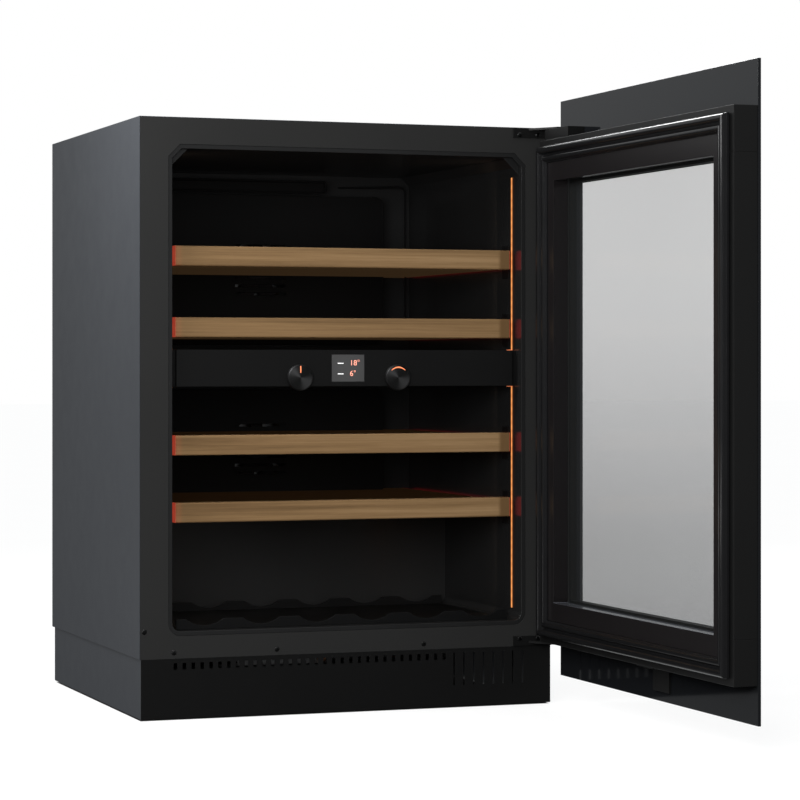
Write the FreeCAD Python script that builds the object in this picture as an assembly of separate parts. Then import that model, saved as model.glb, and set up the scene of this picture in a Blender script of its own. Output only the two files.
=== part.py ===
"""Built-in two-zone wine cooler with four pull-out shelves and a full-glass door.

Everything is laid out with x from the middle of the cabinet, y from the cabinet's front
face towards its back, and z from the floor. save() then moves each piece so that the
origin lies on the floor under the middle of the cabinet. The door is laid out closed and
turned open by a quarter turn about its hinge pins, which is how it stands at rest.
"""
import FreeCAD, Part
import math
import os

# --- Cabinet -------------------------------------------------------------------------
CABINET_WIDTH = 595.0
CABINET_DEPTH = 513.0
CABINET_HEIGHT = 806.0
PLINTH_HEIGHT = 82.0
SHEET = 1.0              # outer sheet steel
LINER = 2.0              # moulded liner
FRAME_DEPTH = 12.0       # front frame behind the liner's flange

# --- Cavity --------------------------------------------------------------------------
SIDE_WALL = 45.5         # outside face to cavity
TOP_WALL = 42.0
FLOOR_WALL = 36.0
REAR_WALL = 56.0
CAVITY_GUSSET = 13.0     # slanted top corners
CAVITY_CORNER = 12.0     # rounded bottom corners
LINER_FLANGE = 6.0
FLANGE_RECESS = 0.8
LOWER_DEPTH = 300.0      # cavity in front of the machine compartment
STEP_HEIGHT = 250.0      # top of the step over the compartment
FOAM = 38.0              # between the step and the compartment

# --- Front frame ---------------------------------------------------------------------
RAIL_INSET = 42.0        # seam between stile and bottom rail
RAIL_SCREW_RISE = 8.0    # above the plinth
RAIL_SCREW_X = (-250.0, -106.0, 106.0)
STILE_SCREW = (6.5, 37.0)    # in from the cabinet's side, above the plinth

# --- Plinth and base -----------------------------------------------------------------
PLINTH_INSET = 2.1
PLINTH_SHEET = 1.5
PLINTH_CLEAR = 2.0       # under the plinth
PLINTH_REAR_INSET = 8.0
VENT_PITCH = 12.4
VENT_WIDTH = 5.0
VENT_HEIGHT = 9.0
VENT_TOP_GAP = 6.0
LOUVRE_PITCH = 14.6
LOUVRE_WIDTH = 2.4
LOUVRE_HEIGHT = 45.0
LOUVRE_COUNT = 8
LOUVRE_INSET = 42.0      # last louvre to the plinth's right end
BASE_PAN_Z = 30.0
PAN_LIP_CLEAR = 4.0      # under the pan's front lip

# --- Levelling feet ------------------------------------------------------------------
FOOT_RADIUS = 18.0
FOOT_PAD = 8.0
STEM_RADIUS = 5.0
RUNNING = 0.05           # radial clearance of a running fit
SOCKET_RADIUS = 9.0
SOCKET_HEIGHT = 32.0
FOOT_X_INSET = 42.0
FOOT_FRONT_Y = 45.0
FOOT_REAR_INSET = 43.0

# --- Shelves -------------------------------------------------------------------------
SHELF_TOPS = (635.0, 538.7, 379.7, 289.0)
SHELF_FRONT_HEIGHT = 26.8
SHELF_FRONT_DEPTH = 20.0
SHELF_FRONT_Y = 20.0
SHELF_SIDE_GAP = 9.5     # front rail to cavity wall
SHELF_DEPTH = 390.0
SIDE_BAR_WIDTH = 18.0
SIDE_BAR_HEIGHT = 21.0
SLAT_COUNT = 8
SLAT_WIDTH = 28.0
SLAT_HEIGHT = 12.0
RAIL_DEPTH = 7.0         # wall rail, across
RAIL_HEIGHT = 16.0
RAIL_FRONT_Y = 42.0
RAIL_LENGTH = 358.0
GROOVE_DEPTH = 4.5
GROOVE_HEIGHT = 10.4
RUNNER_CLEAR = 0.3
END_PLATE = (2.5, 24.0, 46.0)

# --- Zone bar with its controls ------------------------------------------------------
BAR_BOTTOM = 445.4
BAR_TOP = 495.0
BAR_FRONT_Y = 12.0
BAR_DEPTH = 28.0
BAR_WALL = 3.0
BAR_END = 9.0            # recessed end of the bar
BAR_END_RECESS = 8.0
DIVIDER_Y = 25.0
KNOB_X = 70.6
KNOB_Z = 457.4
KNOB_RADIUS = 17.8
KNOB_PROUD = 8.0
KNOB_SHAFT = 4.0
DISPLAY_SIZE = (47.0, 37.0, 7.0)
DISPLAY_Z = 470.2

# --- Lighting ------------------------------------------------------------------------
LED_Y = 28.0
LED_WIDTH = 10.0
LED_PROUD = 1.5
LED_INSET = (15.0, 26.0)     # from the cavity's bottom and top

# --- Air ducts -----------------------------------------------------------------------
DUCT_DEPTH = 40.0
DUCT_HALF_WIDTH = 196.0
UPPER_DUCT = (505.0, 730.0)
LOWER_DUCT = (258.0, 438.0)
DUCT_WALL = 2.0
FAN_SIZE = 100.0
FAN_DEPTH = 25.0
FAN_BORE = 47.0
FAN_TIP = 45.0
FAN_HUB = 18.0
FAN_PIN = 2.0
EVAPORATOR = (300.0, 6.0, 140.0)

# --- Machine compartment -------------------------------------------------------------
COMPRESSOR_X = -120.0
COMPRESSOR_Y = 425.0
COMPRESSOR_RADIUS = 62.0
COMPRESSOR_HEIGHT = 132.0
GROMMET = 10.0
CONDENSER_X = 140.0
CONDENSER_Y = 372.0
CONDENSER_TUBE = 3.0
CONDENSER_PASSES = 9
CONDENSER_PITCH = 15.0
CONDENSER_WIDTH = 130.0
INLET_SIZE = (48.0, 24.0, 28.0)
INLET_X = -230.0
INLET_Z = 120.0

# --- Door ----------------------------------------------------------------------------
GASKET = 10.0
GASKET_GAP = 0.3         # closed gasket to cabinet front
DOOR_BODY = 33.2
GLASS = 4.0
DOOR_SIDE_INSET = 1.0
DOOR_RISE = 9.0          # above the plinth
DOOR_TOP_GAP = 21.5      # below the cabinet's top
PANEL_DROP = 39.0        # below the plinth's top
PANEL_RISE = 35.0        # above the cabinet's top
STILE_WIDTH = 50.0
DOOR_RAIL_HEIGHT = 56.0
TRIM = 1.6
TRIM_DEPTH = 21.2
PANE = 3.0
PANE_CLEAR = 0.5         # round the inner pane and the spacer
SPACER_WIDTH = 4.0
GASKET_INSET = 9.0
GASKET_WIDTH = 23.0
BRACKET_X = (-58.0, -10.0)
BRACKET_DROP = 35.0      # below the door body

# --- Hinges --------------------------------------------------------------------------
PIVOT_INSET = 6.0        # from the cabinet's side
PIVOT_OUT = 37.5         # in front of the cabinet's face
PIN_RADIUS = 3.0
BUSH_RADIUS = 4.5
BUSH_FLANGE = 5.4
ARM = 3.0
ARM_NOSE = 5.5
BRACKET_WIDTH = 52.5
BRACKET_LEG = 13.5
HINGE_BLOCK_LENGTH = 80.0
HINGE_BLOCK_DEPTH = 24.0
HINGE_GAP = 0.2
FLANGE_HEIGHT = 1.8

# --- Fasteners -----------------------------------------------------------------------
SCREW_HEAD = 3.4
SCREW_HEAD_HEIGHT = 1.4
SCREW_SHANK = 1.75
SCREW_LENGTH = 9.0
SCREW_CLEAR = 0.1

# --- Sizes that follow ---------------------------------------------------------------
HALF = CABINET_WIDTH / 2
CAVITY_HALF = HALF - SIDE_WALL
CAVITY_BOTTOM = PLINTH_HEIGHT + FLOOR_WALL
CAVITY_TOP = CABINET_HEIGHT - TOP_WALL
CAVITY_DEPTH = CABINET_DEPTH - REAR_WALL
COMPARTMENT_Y = LOWER_DEPTH + LINER + FOAM + SHEET
COMPARTMENT_TOP = STEP_HEIGHT - LINER - FOAM
SHELF_HALF = CAVITY_HALF - SHELF_SIDE_GAP
LED_BOTTOM = CAVITY_BOTTOM + LED_INSET[0]
LED_TOP = CAVITY_TOP - LED_INSET[1]
DOOR_BOTTOM = PLINTH_HEIGHT + DOOR_RISE
DOOR_TOP = CABINET_HEIGHT - DOOR_TOP_GAP
PANEL_BOTTOM = PLINTH_HEIGHT - PANEL_DROP
PANEL_TOP = CABINET_HEIGHT + PANEL_RISE
PIVOT_X = HALF - PIVOT_INSET
BODY_FRONT = -(GASKET + GASKET_GAP)
BODY_BACK = BODY_FRONT - DOOR_BODY
DOOR_HALF = HALF - DOOR_SIDE_INSET
PIVOT = FreeCAD.Vector(PIVOT_X, -PIVOT_OUT, 0)
UP = FreeCAD.Vector(0, 0, 1)
BACKWARDS = FreeCAD.Vector(0, 1, 0)
SIDES = (-1, 1)


def box(x, y, z):
    """A block between the two values given for each direction."""
    corner = FreeCAD.Vector(min(x), min(y), min(z))
    return Part.makeBox(abs(x[1] - x[0]), abs(y[1] - y[0]), abs(z[1] - z[0]), corner)


def upright(radius, x, y, z):
    """A vertical round bar."""
    return Part.makeCylinder(radius, z[1] - z[0], FreeCAD.Vector(x, y, z[0]), UP)


def level(radius, x, y, z):
    """A round bar that lies along y."""
    return Part.makeCylinder(radius, y[1] - y[0], FreeCAD.Vector(x, y[0], z), BACKWARDS)


def mirrored(shape):
    """The same piece on the other side of the cabinet."""
    return shape.mirror(FreeCAD.Vector(0, 0, 0), FreeCAD.Vector(1, 0, 0))


def pair(shape):
    return [shape, mirrored(shape)]


def fuse(shapes):
    """Joined solids with their seams removed."""
    return shapes[0].multiFuse(shapes[1:]).removeSplitter()


def cut(shape, tools):
    return shape.cut(Part.makeCompound(tools)) if tools else shape


def save(name, *shapes):
    """One file for one node, moved so that the origin is under the cabinet's middle."""
    group = Part.makeCompound([s.copy() for s in shapes]) if len(shapes) > 1 else shapes[0].copy()
    group.translate(FreeCAD.Vector(0, -CABINET_DEPTH / 2, 0))
    group.exportStep("parts/" + name + ".step")


def opened(shape):
    """A piece of the closed door, turned a quarter turn open."""
    turned = shape.copy()
    turned.rotate(PIVOT, UP, 90)
    return turned


def screw(x, y, z, axis, clearance=0.0):
    """A pan-head screw whose head stands on the point and whose shank runs along axis."""
    at = FreeCAD.Vector(x, y, z)
    head = Part.makeCylinder(SCREW_HEAD, SCREW_HEAD_HEIGHT, at - axis * SCREW_HEAD_HEIGHT, axis)
    shank = Part.makeCylinder(SCREW_SHANK + clearance, SCREW_LENGTH + clearance, at, axis)
    return shank if clearance else head.fuse(shank)


def holes(points, axis):
    return [screw(*point, axis, SCREW_CLEAR) for point in points]


def screws(points, axis):
    return [screw(*point, axis) for point in points]


# --- Cabinet -------------------------------------------------------------------------
def cavity_outline(grow, y):
    """The cavity's front outline, grown on all sides: slanted on top, rounded below."""
    half = CAVITY_HALF + grow
    bottom = CAVITY_BOTTOM - grow
    top = CAVITY_TOP + grow
    slant = CAVITY_GUSSET + grow * (2 - math.sqrt(2))
    radius = CAVITY_CORNER + grow
    spread = radius * (1 - math.sqrt(0.5))

    def at(x, z):
        return FreeCAD.Vector(x, y, z)

    edges = [
        Part.LineSegment(at(-half + radius, bottom), at(half - radius, bottom)),
        Part.Arc(at(half - radius, bottom), at(half - spread, bottom + spread),
                 at(half, bottom + radius)),
        Part.LineSegment(at(half, bottom + radius), at(half, top - slant)),
        Part.LineSegment(at(half, top - slant), at(half - slant, top)),
        Part.LineSegment(at(half - slant, top), at(-half + slant, top)),
        Part.LineSegment(at(-half + slant, top), at(-half, top - slant)),
        Part.LineSegment(at(-half, top - slant), at(-half, bottom + radius)),
        Part.Arc(at(-half, bottom + radius), at(-half + spread, bottom + spread),
                 at(-half + radius, bottom)),
    ]
    return Part.Face(Part.Wire([edge.toShape() for edge in edges]))


def cavity(grow, start):
    """The room inside, from start to its back, with the step over the compartment."""
    room = cavity_outline(grow, start).extrude(BACKWARDS * (CAVITY_DEPTH + grow - start))
    step = box((-HALF, HALF), (LOWER_DEPTH + grow, CABINET_DEPTH), (0, STEP_HEIGHT - grow))
    return room.cut(step)


def socket(x, y, z):
    """A welded tube that a foot's stem runs in."""
    tube = upright(SOCKET_RADIUS, x, y, (z, z + SOCKET_HEIGHT))
    return tube.cut(socket_bore(x, y, z))


def socket_bore(x, y, z):
    return upright(STEM_RADIUS + RUNNING, x, y, (z - 5, z + SOCKET_HEIGHT + 5))


def make_cabinet():
    inner = HALF - SHEET
    shell = box((-HALF, HALF), (0, CABINET_DEPTH), (PLINTH_HEIGHT, CABINET_HEIGHT))
    room = box((-inner, inner), (-1, CABINET_DEPTH + 1), (0, CABINET_HEIGHT - SHEET))
    save("outer_shell", shell.cut(room))

    rear_y = CABINET_DEPTH - SHEET
    save("rear_panel", box((-inner, inner), (rear_y, CABINET_DEPTH),
                           (COMPARTMENT_TOP + SHEET, CABINET_HEIGHT - SHEET)))

    rim = cavity_outline(LINER_FLANGE, FLANGE_RECESS).extrude(BACKWARDS * LINER)
    liner = fuse([cavity(LINER, FLANGE_RECESS), rim]).cut(cavity(0, -1))
    save("inner_liner", liner)

    pan_top = PLINTH_HEIGHT + SHEET
    riser_y = COMPARTMENT_Y - SHEET
    bottom = fuse([
        box((-inner, inner), (FRAME_DEPTH, COMPARTMENT_Y), (PLINTH_HEIGHT, pan_top)),
        box((-inner, inner), (riser_y, COMPARTMENT_Y), (PLINTH_HEIGHT, COMPARTMENT_TOP + SHEET)),
        box((-inner, inner), (riser_y, rear_y), (COMPARTMENT_TOP, COMPARTMENT_TOP + SHEET)),
    ])
    front_feet = [place for name, place in foot_places().items() if "front" in name]
    save("cabinet_bottom", fuse([bottom] + [socket(*place) for place in front_feet]))

    foam = box((-inner, inner), (FRAME_DEPTH, rear_y), (pan_top, CABINET_HEIGHT - SHEET))
    compartment = box((-inner, inner), (riser_y, rear_y), (0, COMPARTMENT_TOP + SHEET))
    save("insulation_foam", cut(foam, [cavity(LINER, -1), compartment]))


def frame_screw_points():
    inset, rise = STILE_SCREW
    rail = [(x, 0, PLINTH_HEIGHT + RAIL_SCREW_RISE) for x in RAIL_SCREW_X]
    return rail + [(inset - HALF, 0, PLINTH_HEIGHT + rise)]


def bracket_screw_points():
    """Two screws through each hinge bracket into the front frame."""
    right = PIVOT_X
    left = right - BRACKET_WIDTH
    heights = (upper_leg()[0] + SCREW_HEAD + 0.8, lower_leg()[1] - SCREW_HEAD)
    return [(x, -ARM, z) for z in heights for x in (left + 9, right - 16)]


def make_front_frame():
    inner = HALF - SHEET
    seam = HALF - RAIL_INSET
    points = holes(frame_screw_points() + bracket_screw_points(), BACKWARDS)
    opening = cavity_outline(LINER_FLANGE, -1).extrude(BACKWARDS * (FRAME_DEPTH + 2))
    whole = box((-inner, inner), (0, FRAME_DEPTH), (PLINTH_HEIGHT, CABINET_HEIGHT - SHEET))
    rail = box((-seam, seam), (0, FRAME_DEPTH), (PLINTH_HEIGHT, CAVITY_BOTTOM + 30))
    save("front_frame", cut(whole, [opening, rail] + points))
    save("front_bottom_rail", cut(rail, [opening] + points))
    save("cabinet_screws", *screws(frame_screw_points() + bracket_screw_points(), BACKWARDS))


def make_plinth():
    outer = HALF - PLINTH_INSET
    vent_top = PLINTH_HEIGHT - VENT_TOP_GAP
    count = int((2 * outer - 92) / VENT_PITCH)
    start = -count * VENT_PITCH / 2
    louvres = [outer - LOUVRE_INSET - i * LOUVRE_PITCH for i in range(LOUVRE_COUNT)]
    vents = [start + i * VENT_PITCH for i in range(count + 1)]
    vents = [x for x in vents if x < louvres[-1] - VENT_PITCH]
    slots = [box((x - VENT_WIDTH / 2, x + VENT_WIDTH / 2), (-1, PLINTH_SHEET + 1),
                 (vent_top - VENT_HEIGHT, vent_top)) for x in vents]
    slots += [box((x - LOUVRE_WIDTH / 2, x + LOUVRE_WIDTH / 2), (-1, PLINTH_SHEET + 1),
                  (vent_top - LOUVRE_HEIGHT, vent_top)) for x in louvres]
    front = box((-outer, outer), (0, PLINTH_SHEET), (PLINTH_CLEAR, PLINTH_HEIGHT))
    save("plinth_grille", cut(front, slots))
    back = CABINET_DEPTH - PLINTH_REAR_INSET
    side = box((outer - PLINTH_SHEET, outer), (PLINTH_SHEET, back), (PLINTH_CLEAR, PLINTH_HEIGHT))
    save("plinth_sides", *pair(side))


def foot_places():
    x = HALF - FOOT_X_INSET
    front_z = PLINTH_HEIGHT - SOCKET_HEIGHT
    rear_z = BASE_PAN_Z + PLINTH_SHEET
    rear_y = CABINET_DEPTH - FOOT_REAR_INSET
    return {
        "foot_front_left": (-x, FOOT_FRONT_Y, front_z),
        "foot_front_right": (x, FOOT_FRONT_Y, front_z),
        "foot_rear_left": (-x, rear_y, rear_z),
        "foot_rear_right": (x, rear_y, rear_z),
    }


def make_base():
    """The pan under the machine compartment, and the four levelling feet."""
    wall = HALF - PLINTH_INSET - PLINTH_SHEET
    floor_top = BASE_PAN_Z + PLINTH_SHEET
    back = CABINET_DEPTH - PLINTH_REAR_INSET - PLINTH_SHEET
    pan = fuse([
        box((-wall, wall), (COMPARTMENT_Y, back), (BASE_PAN_Z, floor_top)),
        box((-wall, wall), (COMPARTMENT_Y, COMPARTMENT_Y + PLINTH_SHEET), (PAN_LIP_CLEAR, BASE_PAN_Z)),
        box((-wall, -wall + PLINTH_SHEET), (COMPARTMENT_Y, back), (BASE_PAN_Z, PLINTH_HEIGHT)),
        box((wall, wall - PLINTH_SHEET), (COMPARTMENT_Y, back), (BASE_PAN_Z, PLINTH_HEIGHT)),
    ])
    rear_feet = [place for name, place in foot_places().items() if "rear" in name]
    pan = cut(pan, [socket_bore(*place) for place in rear_feet])
    save("base_pan", fuse([pan] + [socket(*place) for place in rear_feet]))
    for name, (x, y, z) in foot_places().items():
        pad = Part.makeCone(FOOT_RADIUS, FOOT_RADIUS - 4, FOOT_PAD, FreeCAD.Vector(x, y, 0), UP)
        nut = upright(8.5, x, y, (FOOT_PAD, FOOT_PAD + 5))
        stem = upright(STEM_RADIUS, x, y, (FOOT_PAD, z + SOCKET_HEIGHT - 1.5))
        save(name, fuse([pad, nut, stem]))


# --- Inside --------------------------------------------------------------------------
def make_shelf(number, top):
    """Wood front, slatted tray between two side bars, and two steel runners."""
    bottom = top - SHELF_FRONT_HEIGHT
    back = SHELF_FRONT_Y + SHELF_DEPTH
    tray_y = SHELF_FRONT_Y + SHELF_FRONT_DEPTH
    front = box((-SHELF_HALF, SHELF_HALF), (SHELF_FRONT_Y, tray_y), (bottom, top))
    long_edges = [e for e in front.Edges if abs(e.BoundBox.XLength - 2 * SHELF_HALF) < 0.1
                  and e.BoundBox.YMin < SHELF_FRONT_Y + 1]
    save(f"shelf_{number}_front", front.makeFillet(2.0, long_edges))

    bar_inner = SHELF_HALF - SIDE_BAR_WIDTH
    bars = pair(box((bar_inner, SHELF_HALF), (tray_y, back),
                    (bottom + 1, bottom + 1 + SIDE_BAR_HEIGHT)))
    first = tray_y + 12
    pitch = (back - SLAT_WIDTH - first) / (SLAT_COUNT - 1)
    slats = [box((-bar_inner, bar_inner), (first + i * pitch, first + i * pitch + SLAT_WIDTH),
                 (bottom + 1, bottom + 1 + SLAT_HEIGHT)) for i in range(SLAT_COUNT)]
    save(f"shelf_{number}_tray", *bars, *slats)

    middle = rail_middle(top)
    reach = CAVITY_HALF - RAIL_DEPTH + GROOVE_DEPTH - RUNNER_CLEAR
    half_height = GROOVE_HEIGHT / 2 - RUNNER_CLEAR
    runner = box((SHELF_HALF, reach), (RAIL_FRONT_Y, RAIL_FRONT_Y + RAIL_LENGTH),
                 (middle - half_height, middle + half_height))
    save(f"shelf_{number}_runners", *pair(runner))


def rail_middle(top):
    return top - SHELF_FRONT_HEIGHT + 1 + SIDE_BAR_HEIGHT / 2


def make_shelf_rails():
    rails = []
    inner = CAVITY_HALF - RAIL_DEPTH
    thick, length, height = END_PLATE
    for top in SHELF_TOPS:
        z = rail_middle(top)
        rail = box((inner, CAVITY_HALF), (RAIL_FRONT_Y, RAIL_FRONT_Y + RAIL_LENGTH),
                   (z - RAIL_HEIGHT / 2, z + RAIL_HEIGHT / 2))
        groove = box((inner, inner + GROOVE_DEPTH), (0, RAIL_FRONT_Y + RAIL_LENGTH + 1),
                     (z - GROOVE_HEIGHT / 2, z + GROOVE_HEIGHT / 2))
        plate = box((CAVITY_HALF - thick, CAVITY_HALF), (RAIL_FRONT_Y, RAIL_FRONT_Y + length),
                    (z - height / 2, z + height / 2))
        rails.extend(pair(fuse([rail.cut(groove), plate])))
    save("shelf_rails", *rails)


def make_bottle_rest():
    """A thin tray with a scalloped lip at the front and the back."""
    half = CAVITY_HALF - CAVITY_CORNER
    start = 25.0
    lip_height = 14.0
    lip = 3.0
    back = LOWER_DEPTH - 15
    base = box((-half, half), (start, back), (CAVITY_BOTTOM, CAVITY_BOTTOM + 1.5))
    lips = [box((-half, half), (y, y + lip), (CAVITY_BOTTOM, CAVITY_BOTTOM + lip_height))
            for y in (start, back - lip)]
    bottles = 6
    radius = 42.0
    pitch = 2 * half / bottles
    scoops = [level(radius, -half + (i + 0.5) * pitch, (0, LOWER_DEPTH),
                    CAVITY_BOTTOM + 5 + radius) for i in range(bottles)]
    save("bottle_rest", cut(fuse([base] + lips), scoops))


def make_zone_bar():
    inner = CAVITY_HALF - 0.5
    main = CAVITY_HALF - BAR_END
    back = BAR_FRONT_Y + BAR_DEPTH
    solid = fuse([
        box((-main, main), (BAR_FRONT_Y, back), (BAR_BOTTOM, BAR_TOP)),
        box((-inner, inner), (BAR_FRONT_Y + BAR_END_RECESS, back), (BAR_BOTTOM, BAR_TOP)),
    ])
    hollow = fuse([
        box((-main + BAR_WALL, main - BAR_WALL), (BAR_FRONT_Y + BAR_WALL, back + 1),
            (BAR_BOTTOM + BAR_WALL, BAR_TOP - BAR_WALL)),
        box((-inner + BAR_WALL, inner - BAR_WALL), (BAR_FRONT_Y + BAR_END_RECESS + BAR_WALL, back + 1),
            (BAR_BOTTOM + BAR_WALL, BAR_TOP - BAR_WALL)),
    ])
    width, height, depth = DISPLAY_SIZE
    window = box((-width / 2, width / 2), (BAR_FRONT_Y - 1, DIVIDER_Y),
                 (DISPLAY_Z - height / 2, DISPLAY_Z + height / 2))
    bores = [level(KNOB_SHAFT + RUNNING, side * KNOB_X, (BAR_FRONT_Y - 1, DIVIDER_Y), KNOB_Z)
             for side in SIDES]
    save("control_fascia", cut(solid, [hollow, window] + bores))

    save("display_module", box((-width / 2, width / 2), (BAR_FRONT_Y + 0.2, BAR_FRONT_Y + depth),
                               (DISPLAY_Z - height / 2, DISPLAY_Z + height / 2)))
    board_y = BAR_FRONT_Y + depth
    board = box((-110, 110), (board_y, board_y + 1.6),
                (BAR_BOTTOM + BAR_WALL, BAR_TOP - BAR_WALL))
    passages = [level(KNOB_SHAFT + 1, side * KNOB_X, (board_y - 1, board_y + 3), KNOB_Z)
                for side in SIDES]
    save("control_board", cut(board, passages))

    for name, side in (("power_knob", -1), ("temperature_knob", 1)):
        cap = level(KNOB_RADIUS, side * KNOB_X, (BAR_FRONT_Y - KNOB_PROUD, BAR_FRONT_Y - 0.3), KNOB_Z)
        rim = [e for e in cap.Edges if abs(e.BoundBox.YMax - (BAR_FRONT_Y - KNOB_PROUD)) < 0.01]
        cap = cap.makeChamfer(0.8, rim)
        shaft = level(KNOB_SHAFT, side * KNOB_X, (BAR_FRONT_Y - 1, DIVIDER_Y - 1), KNOB_Z)
        save(name, fuse([cap, shaft]))

    divider_half = CAVITY_HALF - 0.5
    divider = box((-divider_half, divider_half), (DIVIDER_Y, CAVITY_DEPTH),
                  (BAR_BOTTOM + BAR_WALL, BAR_TOP - BAR_WALL))
    sleeve = fuse([
        box((-divider_half, -inner + BAR_WALL), (0, back), (0, CABINET_HEIGHT)),
        box((divider_half, inner - BAR_WALL), (0, back), (0, CABINET_HEIGHT)),
    ])
    save("zone_divider", divider.cut(sleeve))


def make_lighting():
    strips = []
    spans = ((LED_BOTTOM, BAR_BOTTOM - 0.6), (BAR_TOP + 0.6, LED_TOP))
    for span in spans:
        strips.extend(pair(box((CAVITY_HALF - LED_PROUD, CAVITY_HALF), (LED_Y, LED_Y + LED_WIDTH), span)))
    save("led_strips", *strips)


def fan_middles():
    return ((0, sum(UPPER_DUCT) / 2), (0, sum(LOWER_DUCT) / 2))


def fan_housing(x, y, z):
    """A square frame with a round bore, three struts and a motor with its pin."""
    half = FAN_SIZE / 2
    frame = box((x - half, x + half), (y, y + FAN_DEPTH), (z - half, z + half))
    frame = frame.cut(level(FAN_BORE, x, (y - 1, y + FAN_DEPTH + 1), z))
    motor_y = y + FAN_DEPTH - 6
    pieces = [frame, level(FAN_HUB, x, (motor_y, y + FAN_DEPTH), z),
              level(FAN_PIN, x, (y + 5, motor_y + 1), z)]
    for turn in range(3):
        strut = box((x - 3, x + 3), (motor_y + 2, y + FAN_DEPTH), (z + FAN_HUB - 2, z + FAN_BORE + 1))
        strut.rotate(FreeCAD.Vector(x, 0, z), BACKWARDS, 120 * turn)
        pieces.append(strut)
    return fuse(pieces)


def fan_rotor(x, y, z):
    """A hub with seven pitched blades, running on the housing's pin."""
    hub_span = (y + 3, y + FAN_DEPTH - 7)
    bore = level(FAN_PIN + RUNNING, x, (y + 4.5, y + FAN_DEPTH), z)
    hub = level(FAN_HUB, x, hub_span, z)
    middle_y = sum(hub_span) / 2
    tip = level(FAN_TIP, x, hub_span, z)
    pieces = [hub]
    blades = 7
    for turn in range(blades):
        blade = box((x - 12, x + 12), (middle_y - 0.9, middle_y + 0.9), (z + FAN_HUB - 2, z + FAN_TIP + 3))
        blade.rotate(FreeCAD.Vector(x, middle_y, z), UP, 32)
        blade.rotate(FreeCAD.Vector(x, 0, z), BACKWARDS, 360 * turn / blades)
        pieces.append(blade.common(tip))
    return fuse(pieces).cut(bore)


def make_air_ducts():
    """Hollow covers on the back wall, each with a fan in front of an evaporator plate."""
    front_y = CAVITY_DEPTH - DUCT_DEPTH
    covers = []
    plates = []
    for bottom, top in (UPPER_DUCT, LOWER_DUCT):
        block = box((-DUCT_HALF_WIDTH, DUCT_HALF_WIDTH), (front_y, CAVITY_DEPTH), (bottom, top))
        corners = [e for e in block.Edges if abs(e.BoundBox.YLength - DUCT_DEPTH) < 0.1]
        block = block.makeFillet(14.0, corners)
        wall = DUCT_WALL
        room = box((-DUCT_HALF_WIDTH + wall, DUCT_HALF_WIDTH - wall),
                   (front_y + wall, CAVITY_DEPTH + 1), (bottom + wall, top - wall))
        corners = [e for e in room.Edges if abs(e.BoundBox.YLength - DUCT_DEPTH + 1) < 0.1]
        room = room.makeFillet(12.0, corners)
        middle = (bottom + top) / 2
        slots = [box((-40, 40), (front_y - 1, front_y + wall + 1), (middle + 12 * i - 2, middle + 12 * i + 2))
                 for i in range(-3, 4)]
        covers.append(cut(block, [room] + slots))
        width, thick, height = EVAPORATOR
        plates.append(box((-width / 2, width / 2), (CAVITY_DEPTH - thick, CAVITY_DEPTH),
                          (middle - height / 2, middle + height / 2)))
    save("duct_covers", *covers)
    save("evaporators", *plates)


def make_fans():
    evaporator_y = CAVITY_DEPTH - EVAPORATOR[1] - FAN_DEPTH
    (upper_x, upper_z), (lower_x, lower_z) = fan_middles()
    condenser_z = BASE_PAN_Z + PLINTH_SHEET + FAN_SIZE / 2
    condenser_y = CONDENSER_Y + 34
    places = {
        "upper_fan_rotor": (upper_x, evaporator_y, upper_z),
        "lower_fan_rotor": (lower_x, evaporator_y, lower_z),
        "condenser_fan_rotor": (CONDENSER_X, condenser_y, condenser_z),
    }
    save("fan_housings", *[fan_housing(*place) for place in places.values()])
    for name, place in places.items():
        save(name, fan_rotor(*place))


# --- Machine compartment -------------------------------------------------------------
def make_compressor():
    floor_top = BASE_PAN_Z + PLINTH_SHEET
    foot_z = floor_top + GROMMET
    shell = upright(COMPRESSOR_RADIUS, COMPRESSOR_X, COMPRESSOR_Y, (foot_z + 4, foot_z + COMPRESSOR_HEIGHT))
    rims = [e for e in shell.Edges if e.BoundBox.ZLength < 0.01]
    shell = shell.makeFillet(24.0, rims)
    half_x = COMPRESSOR_RADIUS + 12
    half_y = COMPRESSOR_RADIUS - 10
    foot = box((COMPRESSOR_X - half_x, COMPRESSOR_X + half_x),
               (COMPRESSOR_Y - half_y, COMPRESSOR_Y + half_y), (foot_z, foot_z + 3))
    belly = upright(COMPRESSOR_RADIUS - 30, COMPRESSOR_X, COMPRESSOR_Y, (foot_z + 1, foot_z + 30))
    save("compressor", fuse([shell, foot, belly]))
    places = [(COMPRESSOR_X + a * (half_x - 10), COMPRESSOR_Y + b * (half_y - 10))
              for a in SIDES for b in SIDES]
    save("compressor_grommets", *[upright(9.0, x, y, (floor_top, foot_z)) for x, y in places])


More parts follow.
